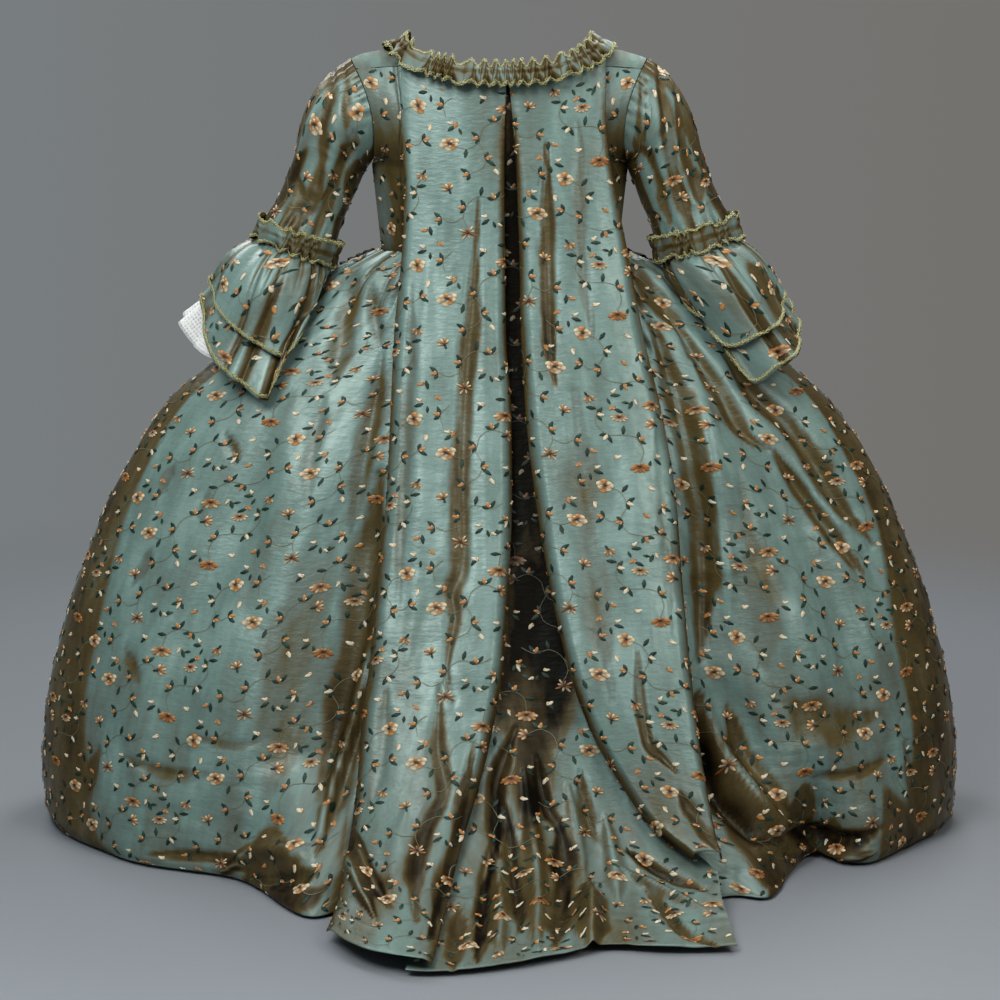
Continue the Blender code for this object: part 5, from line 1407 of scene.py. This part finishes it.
def flounce_folds(panel, side, layer, count=8):
    """Gathers that start fine under the band and grow into a few rounded folds at the hem. All layers share them."""
    table = FLOUNCE_LEFT if side > 0 else FLOUNCE_RIGHT
    reach = panel.v * (1.0 if layer == "lower" else read_round(table, FLOUNCE_COLUMNS, layer, 360.0 * panel.u))
    a = 2 * math.pi * panel.u
    wander = 0.9 * np.sin(2 * a + 1.0 + side) + 0.6 * np.sin(3 * a + 2.0) + 0.5 * np.sin(5 * a + 0.5 * side)
    big = 2 * np.abs(np.sin(0.5 * (count * a + 2.6 * wander))) ** 0.80 - 1
    small = 2 * np.abs(np.sin(0.5 * (2 * count * a + 5.2 * wander + 1.3))) ** 0.8 - 1
    fine = 2 * np.abs(np.sin(0.5 * (5 * count * a + 4.0 * wander))) ** 0.8 - 1
    size = 0.85 + 0.35 * np.sin(a * 3 + 1.7 * side)
    r = np.clip(reach, 0, 1.6)
    near_skirt = 1 - 0.45 * ease(np.sin(a) * 1.0) * ease(r / 0.5)
    high = (0.0115 * ease((r - 0.02) / 0.62) * big * size + 0.0026 * small * ease(r / 0.08) * ease((0.55 - r) / 0.4) + 0.0010 * fine * ease(1 - r / 0.12)) * near_skirt
    panel.displace(high * (1.0 if layer != "cuff" else 1.1), 0.9)
    ripple = noise(np.abs(panel.u % 1 - 0.5) * 22, panel.t * 18, 301 + side)
    # painted shade in the valleys between the gathers, plus random tone
    valley_shade = 0.5 * (1 - big) * ease((r - 0.02) / 0.3) + 0.22 * (1 - small) * ease(1 - r / 0.35)
    panel.shot_and_shade += 0.66 * ease((valley_shade * size - 0.40 + 0.34 * (ripple - 0.5)) / 0.30) + 0.10 * np.sin(3 * a + 6 * r) + 0.30 * (noise(np.abs(panel.u % 1 - 0.5) * 9, panel.t * 9, 311 + side) - 0.42) + 0.10
    # painted shade where the flounce turns sideways
    panel.shot_and_shade = np.minimum(panel.shot_and_shade + 0.40 * ease((0.40 - np.abs(panel.n[..., 1])) / 0.22), 0.72)


def lines_of(panel, v):
    """Points and normals along the row v of a panel."""
    f = np.interp(v, panel.v[0], np.arange(panel.v.shape[1]))
    j = int(np.clip(f, 0, panel.v.shape[1] - 2))
    k = f - j
    return panel.p[:, j] * (1 - k) + panel.p[:, j + 1] * k, panel.n[:, j] * (1 - k) + panel.n[:, j + 1] * k


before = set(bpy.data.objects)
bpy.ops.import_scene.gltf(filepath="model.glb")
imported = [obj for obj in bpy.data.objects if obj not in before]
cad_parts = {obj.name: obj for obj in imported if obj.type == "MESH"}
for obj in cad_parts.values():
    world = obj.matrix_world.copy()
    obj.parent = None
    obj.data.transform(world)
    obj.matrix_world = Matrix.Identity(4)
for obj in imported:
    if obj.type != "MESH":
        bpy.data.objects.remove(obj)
cad_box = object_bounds()

# the trims' silk is a copy moved towards olive as painted shade of their gathers; the straps' is rougher, with a little
# painted shade
SILK, SILK_SHADED, SILK_FLAT = silk("shot_silk"), silk("shot_silk_shaded", 0.10, 0.42, 0.38), silk("shot_silk_flat", 0.05, 0.62, 0.30)
THREAD, BRAID, LACE = thread_material(), braid_material(), lace_material()
CHART = repeat()
SHEETS = []


def declare(piece, width, length, held, area=None, rests_on=(), with_pieces=()):
    SHEETS.append((piece, width, length, held, area, rests_on, with_pieces))


flowers = {}
for side, tag in ((1, "L"), (-1, "R")):
    on = lambda f, side=side: (lambda u, v: f(side, u, v))

    # skirt
    panel = Panel(on(skirt_back), line((0, 1, 150)), line((0, 0.8, 116), (0.8, 1.0, 56)))
    skirt_folds(panel, SKIRT_LEFT if side > 0 else SKIRT_RIGHT, 11 if side > 0 else 41, np.minimum(1 - panel.u, 1.0), 0.665 if side > 0 else 0.62)
    piece = cloth("skirt_back_cloth_" + tag, panel, ["skirt_back_" + tag], SILK)
    flowers[piece.name] = embroidery("skirt_back_flowers_" + tag, panel, CHART, THREAD, (0.055 * side, 0.03 + 0.09 * (side < 0)), (0.0, 0.997))
    declare(piece, 0.98, 1.10, "gathered", 0.90)
    panel = Panel(on(skirt_front), line((0, 1, 96)), line((0, 1, 130)))
    skirt_folds(panel, SKIRT_FRONT_LEFT if side > 0 else SKIRT_FRONT_RIGHT, 71 if side > 0 else 91, np.minimum(panel.u, (1 - panel.u) + 0.02))
    piece = cloth("skirt_front_cloth_" + tag, panel, ["skirt_front_" + tag], SILK)
    flowers[piece.name] = embroidery("skirt_front_flowers_" + tag, panel, CHART, THREAD, (0.02 * side, 0.11), (0.0, 0.997))
    declare(piece, 0.80, 1.08, "gathered", 0.62)

    # sack pleat
    panel = Panel(on(pleat_cloth), line((-0.16, 0, 7), (0, 0.12, 16), (0.12, 0.88, 70), (0.88, 1, 16), (1, 1.16, 7)), line((0, 0.75, 140), (0.75, 1.0, 74)))
    x, t, v = panel.p[..., 0], panel.t, panel.v
    high, turned = crease_field(PLEAT_LEFT if side > 0 else PLEAT_RIGHT, x, t, panel.length_at)
    face = ease(panel.u / 0.03) * ease((1 - panel.u) / 0.03)
    patch = noise(x * 14, t * 5, 21 + side)
    high += 0.0050 * (noise(x * 16, t * 2.2, 31 + side) - 0.5) * ease(v / 0.2)
    high += 0.0022 * crumple(x * 34, t * 14, 33 + side) * ease(v / 0.12) * (0.3 + patch)
    high += 0.0020 * crumple(x * 15, t * 60, 37 + side) * ease((v - 0.25) / 0.25) * ease((patch - 0.2) / 0.4)
    panel.displace((0.75 * high) * face * ease(v / 0.03), 0.8)
    # painted shade: olive along both pleat edges where they turn under
    painted_rim_shade = np.exp(-((np.minimum(panel.u, 1 - panel.u) / 0.045) ** 2)) * ease((v - 0.015) / 0.06)
    painted_rim_shade = 0.66 * painted_rim_shade * (0.75 + 0.5 * noise(0 * x, t * 20, 39 + side))
    # painted shade along the creases and darker towards the train, plus random tone
    panel.shot_and_shade = combine_shot_and_shade(combine_shot_and_shade(panel.shot_and_shade, turned * face), painted_rim_shade) + 0.24 * (noise(x * 7, t * 3, 43 + side) - 0.5) + 0.19 * ease((v - 0.66) / 0.3) + 0.07 * ease((v - 0.80) / 0.15)
    # painted shade on the edges folded under
    panel.shot_and_shade += 0.5 * (panel.u < -0.001) + 0.5 * (panel.u > 1.001)
    panel.keep_off_floor()
    piece = cloth("back_pleat_cloth_" + tag, panel, ["back_pleat_" + tag], SILK)
    flowers[piece.name] = embroidery("back_pleat_flowers_" + tag, panel, CHART, THREAD, (0.03 * side, 0.045 + 0.12 * (side < 0)), (0.012, 0.995))
    declare(piece, 0.27, 1.72 if side > 0 else 1.56, "draped", None)

    # bodice
    panel = Panel(on(bodice_back_cloth), line((0, 1, 50)), line((0, 1.02, 70)))
    x, t = panel.p[..., 0], panel.t
    high = 0.0030 * crumple(x * 30, t * 16, 51 + side) * ease(np.minimum(panel.u, 1 - panel.u) / 0.12) * ease(panel.v / 0.08)
    panel.displace(high - 0.002 * np.exp(-(((panel.u - 0.42 - 0.2 * panel.v) / 0.03) ** 2)), 0.8)
    panel.shot_and_shade += 0.42 + 0.16 * ease((panel.v - 0.2) / 0.3) + 0.5 * (noise(x * 20, t * 8, 55 + side) - 0.5)
    panel.shot_and_shade -= 0.26 * ease(1 - panel.v / 0.25)
    piece = cloth("bodice_back_cloth_" + tag, panel, ["bodice_back_" + tag], SILK, hem=False)
    flowers[piece.name] = embroidery("bodice_back_flowers_" + tag, panel, CHART, THREAD, (0.01, 0.02), (0.0, 0.98))
    declare(piece, 0.115, 0.33, "stretched", None)
    panel = Panel(on(bodice_front_cloth), line((0, 1, 60)), line((0, 1.02, 70)))
    x, t = panel.p[..., 0], panel.t
    high = 0.0028 * crumple(x * 30, t * 16, 61 + side) * ease(np.minimum(panel.u, 1 - panel.u) / 0.12) * ease(panel.v / 0.08)
    panel.displace(high, 0.8)
    panel.shot_and_shade += 0.10 + 0.5 * ease((panel.u - 0.55) / 0.3) + 0.4 * (noise(x * 20, t * 8, 65 + side) - 0.5)
    piece = cloth("bodice_front_cloth_" + tag, panel, ["bodice_front_" + tag], SILK, hem=False)
    flowers[piece.name] = embroidery("bodice_front_flowers_" + tag, panel, CHART, THREAD, (0.05, 0.06), (0.0, 0.98))
    declare(piece, 0.14, 0.33, "stretched", None)
    panel = Panel(on(shoulder_strap), line((0, 1, 24)), line((0, 1, 30)))
    panel.displace(0.0018 * crumple(panel.s * 40, panel.t * 22, 67 + side) * ease(np.minimum(panel.u, 1 - panel.u) / 0.15), 0.8)
    panel.shot_and_shade += 0.26 + 0.4 * (noise(panel.s * 40, panel.t * 20, 68 + side) - 0.5)
    piece = cloth("shoulder_strap_cloth_" + tag, panel, ["shoulder_strap_" + tag], SILK_FLAT, hem=False)
    declare(piece, 0.055, 0.125, "stretched", None)

    # sleeve
    panel = Panel(on(lambda s, u, v: sleeve(s, u, v)), (line((0.5, 1.5, 104)))[:-1], line((0, 1, 86)), closed=True)
    sleeve_folds(panel, side, SLEEVE_LEFT_FOLDS if side > 0 else SLEEVE_RIGHT_FOLDS, 81 + side)
    piece = cloth("sleeve_cloth_" + tag, panel, ["sleeve_" + tag], SILK, hem=False)
    flowers[piece.name] = embroidery("sleeve_flowers_" + tag, panel, CHART, THREAD, (0.03 + 0.06 * side, 0.01), (0.02, 0.93))
    declare(piece, 0.42, 0.34, "gathered", None)

    # elbow band with its braids
    panel = gathered(on(elbow_band), line((0, 1, 240))[:-1], line((0, 1, 14)), 13, 0.0066, True, 5 + side, 0.9, 0.0046)
    piece = cloth("elbow_band_cloth_" + tag, panel, ["elbow_band_" + tag], SILK_SHADED, top=True, turned=0.003)
    p0, n0 = lines_of(panel, 0.06)
    p1, n1 = lines_of(panel, 0.94)
    b0 = braid("band_braid_top_loops_" + tag, p0, n0, ["band_braid_top_" + tag], BRAID, True)
    b1 = braid("band_braid_bottom_loops_" + tag, p1, n1, ["band_braid_bottom_" + tag], BRAID, True)
    declare(piece, 0.85, 0.042, "gathered", None, (), [b0, b1])

    # flounces
    for layer in ("upper", "lower"):
        f = lambda u, v, side=side, layer=layer: flounce(side, u, v, layer)
        panel = Panel(f, line((0.5, 1.5, 244))[:-1], line((0, 1, 40)), closed=True)
        flounce_folds(panel, side, layer)
        piece = cloth("flounce_" + layer + "_cloth_" + tag, panel, ["flounce_" + layer + "_" + tag], SILK, turned=0.006)
        flowers[piece.name] = embroidery("flounce_" + layer + "_flowers_" + tag, panel, CHART, THREAD, (0.09 if layer == "upper" else 0.02, 0.01), (0.06, 0.95))
        p0, n0 = lines_of(panel, 0.978)
        b0 = braid("flounce_braid_" + layer + "_loops_" + tag, p0, n0, ["flounce_braid_" + layer + "_" + tag], BRAID, True)
        declare(piece, *((1.00, 0.150) if layer == "upper" else (1.10, 0.210)), "gathered", 0.085 if layer == "upper" else 0.110, (), [b0])
    f = lambda u, v, side=side: flounce(side, u, v, "cuff")
    panel = Panel(f, line((0.5, 1.5, 220))[:-1], line((0, 1, 28)), closed=True)
    flounce_folds(panel, side, "cuff", 13)
    piece = cloth("lace_cuff_cloth_" + tag, panel, ["lace_cuff_" + tag], LACE, turned=0.002)
    declare(piece, 1.10, 0.16, "gathered", 0.085)

    # ruffle down the front edge, and the trim on the pocket opening
    panel = gathered(on(front_ruffle), line((0, 1, 220)), line((0, 1, 14)), 15, 0.0045, False, 7 + side, 0.5, 0.0022)
    piece = cloth("front_ruffle_cloth_" + tag, panel, ["front_ruffle_" + tag], SILK_SHADED, top=True, turned=0.003)
    p0, n0 = lines_of(panel, 0.06)
    p1, n1 = lines_of(panel, 0.94)
    b0 = braid("front_ruffle_braid_inner_" + tag, p0, n0, [], BRAID)
    b1 = braid("front_ruffle_braid_outer_" + tag, p1, n1, [], BRAID)
    declare(piece, 0.55, 0.038, "gathered", None, (), [b0, b1])
    panel = gathered(on(pocket_trim), line((0, 1, 140)), line((0, 1, 12)), 8, 0.0060, False, 9 + side, 0.6, 0.003)
    panel.shot_and_shade += 0.5
    piece = cloth("pocket_trim_cloth_" + tag, panel, ["pocket_trim_" + tag], SILK_SHADED, top=True, turned=0.003)
    declare(piece, 0.20, 0.05, "gathered", None)

# the cloth between the pleats, which runs out into the train
both = lambda f: lambda u, v: f(1, u, v)
panel = Panel(both(back_inset), line((0, 1, 104)), line((0, 0.62, 66), (0.62, 1.0, 128)))
x, t, v = panel.p[..., 0], panel.t, panel.v
high, turned = crease_field(INSET, x, t, panel.length_at)
patch = noise(x * 14, t * 5, 121)
high += 0.0060 * (noise(x * 14, t * 2.6, 123) - 0.5) * ease(v / 0.2)
high += 0.0026 * crumple(x * 30, t * 14, 125) * ease(v / 0.12) * (0.3 + patch)
high += 0.0020 * crumple(x * 15, t * 55, 127) * ease((v - 0.4) / 0.25) * ease((patch - 0.2) / 0.4)
panel.displace(high * ease(v / 0.05), 0.35)
# painted shade along the creases and darker towards the train, plus random tone
panel.shot_and_shade = combine_shot_and_shade(panel.shot_and_shade, turned) + 0.24 * (noise(x * 7, t * 3, 129) - 0.5) + 0.26 * ease((v - 0.66) / 0.2)
# painted shadow: the slit between the pleats is painted brown to near black, fading out further down
slit_x = np.interp(v, (0.0, 0.20, 0.35, 0.45, 0.504, 0.589, 0.70, 0.80), (-0.020, -0.022, -0.027, -0.042, -0.056, -0.066, -0.058, -0.050))
slit = np.exp(-(((x - slit_x) / 0.062) ** 4)) * (1 - ease((v - 0.575 + 0.10 * (noise(x * 26, t * 5, 127) - 0.5)) / 0.150))
panel.shot_and_shade = panel.shot_and_shade * (1 - 0.8 * slit) + 1.16 * slit
panel.keep_off_floor()
piece = cloth("back_inset_cloth", panel, ["back_inset"], SILK)
flowers[piece.name] = embroidery("back_inset_flowers", panel, CHART, THREAD, (0.10, 0.02), (0.0, 0.995))
# painted shadow: the thread colours deep in the slit between the pleats are darkened like the silk there
stitched = flowers[piece.name]
count = len(stitched.data.vertices)
where, thread = np.empty(3 * count, np.float32), np.empty(4 * count, np.float32)
stitched.data.vertices.foreach_get("co", where)
stitched.data.attributes["thread"].data.foreach_get("color", thread)
down = -where.reshape(-1, 3)[:, 2] - stitched.location.z
dimming = 1 - 0.72 * (1 - ease((down - 0.84) / 0.24))
thread = thread.reshape(-1, 4)
thread[:, :3] *= dimming[:, None]
stitched.data.attributes["thread"].data.foreach_set("color", thread.ravel())
declare(piece, 0.45, 1.72, "draped", 0.45)

# petticoat front and stomacher
panel = Panel(both(petticoat), line((0, 1, 84)), line((0.004, 1, 120)))
x, t, v = panel.p[..., 0], panel.t, panel.v
high, turned = crease_field(PETTICOAT_FOLDS, x, t, panel.length_at)
high += 0.006 * (noise(x * 12, t * 2.2, 131) - 0.5) * ease(v / 0.15) + 0.0026 * crumple(x * 24, t * 14, 133) * ease(v / 0.1)
high += 0.0024 * (2 * np.abs(np.sin(x * 130)) ** 0.8 - 1) * ease(1 - v / 0.14)
panel.displace(high, 0.8)
panel.shot_and_shade = combine_shot_and_shade(panel.shot_and_shade, turned) + 0.20 * (noise(x * 7, t * 3, 139) - 0.5)
panel.keep_off_floor()
piece = cloth("petticoat_cloth", panel, ["petticoat_front"], SILK)
flowers[piece.name] = embroidery("petticoat_flowers", panel, CHART, THREAD, (0.06, 0.08), (0.0, 0.995))
declare(piece, 0.66, 1.05, "gathered", 0.66)
panel = Panel(both(stomacher_cloth), line((0, 1, 60)), line((0, 1.04, 52)))
panel.displace(0.0010 * crumple(panel.s * 30, panel.t * 20, 141), 0.8)
panel.shot_and_shade += 0.05
piece = cloth("stomacher_cloth", panel, ["stomacher"], SILK, hem=False, top=True)
flowers[piece.name] = embroidery("stomacher_flowers", panel, CHART, THREAD, (0.0, 0.05), (0.03, 0.98))
declare(piece, 0.26, 0.19, "stretched", None)

# neck ruffle
panel = gathered(both(neck_ruffle), line((0, 1, 500)), line((0, 1, 16)), 24, 0.0068, False, 3, 0.75, 0.0048)
piece = cloth("neck_ruffle_cloth", panel, ["neck_ruffle"], SILK_SHADED, top=True, turned=0.003)
p0, n0 = lines_of(panel, 0.05)
p1, n1 = lines_of(panel, 0.95)
b0 = braid("neck_braid_inner_loops", p0, n0, ["neck_braid_inner"], BRAID)
b1 = braid("neck_braid_outer_loops", p1, n1, ["neck_braid_outer"], BRAID)
declare(piece, 1.15, 0.048, "gathered", None, (), [b0, b1])


def area_of(piece):
    mesh = piece.data
    area = np.empty(len(mesh.polygons), np.float32)
    mesh.polygons.foreach_get("area", area)
    return float(area.sum())


for piece, width, length, held, area, rests_on, with_pieces in SHEETS:
    more = [flowers[piece.name]] if piece.name in flowers else []
    list(rests_on)
    list(with_pieces) + more

# ---------------------------------------------------------------- studio
def stage_material(name, inner, outer_radius, fade):
    m, nodes, links, shader = new_material(name)
    where = nodes.new("ShaderNodeTexCoord")
    length = nodes.new("ShaderNodeVectorMath")
    length.operation = "LENGTH"
    links.new(where.outputs["Object"], length.inputs[0])
    r = nodes.new("ShaderNodeMapRange")
    r.interpolation_type = "SMOOTHSTEP"
    r.inputs["From Min"].default_value = outer_radius - fade
    r.inputs["From Max"].default_value = outer_radius
    r.inputs["To Min"].default_value = 1.0
    r.inputs["To Max"].default_value = 0.0
    links.new(length.outputs["Value"], r.inputs["Value"])
    links.new(r.outputs["Result"], shader.inputs["Alpha"])
    # painted light: the floor is painted lighter towards +Y, the camera side, and darker behind the gown
    axes = nodes.new("ShaderNodeSeparateXYZ")
    links.new(where.outputs["Object"], axes.inputs[0])
    near = nodes.new("ShaderNodeMapRange")
    near.inputs["From Min"].default_value = -0.6
    near.inputs["From Max"].default_value = 1.3
    links.new(axes.outputs["Y"], near.inputs["Value"])
    tone = ramp(nodes, [(0.0, tuple(0.72 * x for x in inner)), (0.35, tuple(0.78 * x for x in inner)), (0.8, inner)])
    links.new(near.outputs["Result"], tone.inputs["Fac"])
    links.new(tone.outputs["Color"], shader.inputs["Base Color"])
    shader.inputs["Roughness"].default_value = 0.75
    shader.inputs["Specular IOR Level"].default_value = 0.2
    return m


n = 96
ring = [(3.4 * math.cos(2 * math.pi * i / n), 3.4 * math.sin(2 * math.pi * i / n), 0) for i in range(n)]
mesh = bpy.data.meshes.new("studio_floor")
mesh.from_pydata([(0, 0, 0)] + ring, [], [(0, 1 + i, 1 + (i + 1) % n) for i in range(n)])
mesh.materials.append(stage_material("studio_floor", (0.170, 0.185, 0.203), 3.35, 1.7))
floor = bpy.data.objects.new("studio_floor", mesh)
floor.location = (0, 0, FLOOR_Z - 0.001)
bpy.context.scene.collection.objects.link(floor)
floor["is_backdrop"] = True

world = bpy.data.worlds.new("studio")
bpy.context.scene.world = world
world.use_nodes = True
where = world.node_tree.nodes.new("ShaderNodeTexCoord")
axes = world.node_tree.nodes.new("ShaderNodeSeparateXYZ")
world.node_tree.links.new(where.outputs["Generated"], axes.inputs[0])
span = world.node_tree.nodes.new("ShaderNodeMapRange")
span.inputs["From Min"].default_value = -0.25
span.inputs["From Max"].default_value = 0.25
world.node_tree.links.new(axes.outputs["X"], span.inputs["Value"])
tone = ramp(world.node_tree.nodes, [(0.0, (0.174, 0.163, 0.150)), (0.5, (0.180, 0.184, 0.182)), (1.0, (0.190, 0.212, 0.222))])
world.node_tree.links.new(span.outputs["Result"], tone.inputs["Fac"])
world.node_tree.links.new(tone.outputs["Color"], world.node_tree.nodes["Background"].inputs[0])
world.node_tree.nodes["Background"].inputs[1].default_value = 1.0


def lamp(name, where, aim, size, power, colour=(1, 1, 1)):
    data = bpy.data.lights.new(name, "AREA")
    data.shape = "RECTANGLE"
    data.size, data.size_y = size
    data.energy = power
    data.color = colour
    o = bpy.data.objects.new(name, data)
    bpy.context.scene.collection.objects.link(o)
    o.location = where
    from mathutils import Vector

    o.rotation_euler = (Vector(aim) - Vector(where)).to_track_quat("-Z", "Y").to_euler()


lamp("key", (1.1, 2.3, 1.55), (0, 0.2, -0.35), (1.5, 1.5), 100, (0.98, 1.0, 0.99))
lamp("fill", (-1.9, 2.2, 1.15), (0, 0.2, -0.40), (1.5, 1.5), 50, (1.0, 0.97, 0.92))
lamp("top", (0, 0.5, 2.3), (0, 0.3, -1.0), (2.0, 2.0), 42)
lamp("front_key", (-1.0, -2.0, 2.3), (0, -0.3, -0.45), (1.5, 1.5), 118, (1.0, 0.99, 0.96))
lamp("front_fill", (1.7, -2.0, 1.9), (0, -0.3, -0.50), (1.5, 1.5), 72, (0.97, 0.99, 1.0))

scene = bpy.context.scene
scene.view_settings.view_transform = "Standard"
scene.view_settings.look = "None"
camera = bpy.data.cameras.new("camera")
camera.sensor_width = 36.0
camera.lens = 93.1
camera.clip_end = 50
eye = bpy.data.objects.new("camera", camera)
scene.collection.objects.link(eye)
eye.location = (0.0, 4.5, -0.03)
eye.rotation_euler = (math.radians(90 - 9.87), 0, math.radians(180))
scene.camera = eye

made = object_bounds()
("[%s,\n %s]\n" % tuple(
    "[[%s], [%s]]" % tuple(", ".join("%.5f" % x for x in corner) for corner in box) for box in (cad_box, made)
))
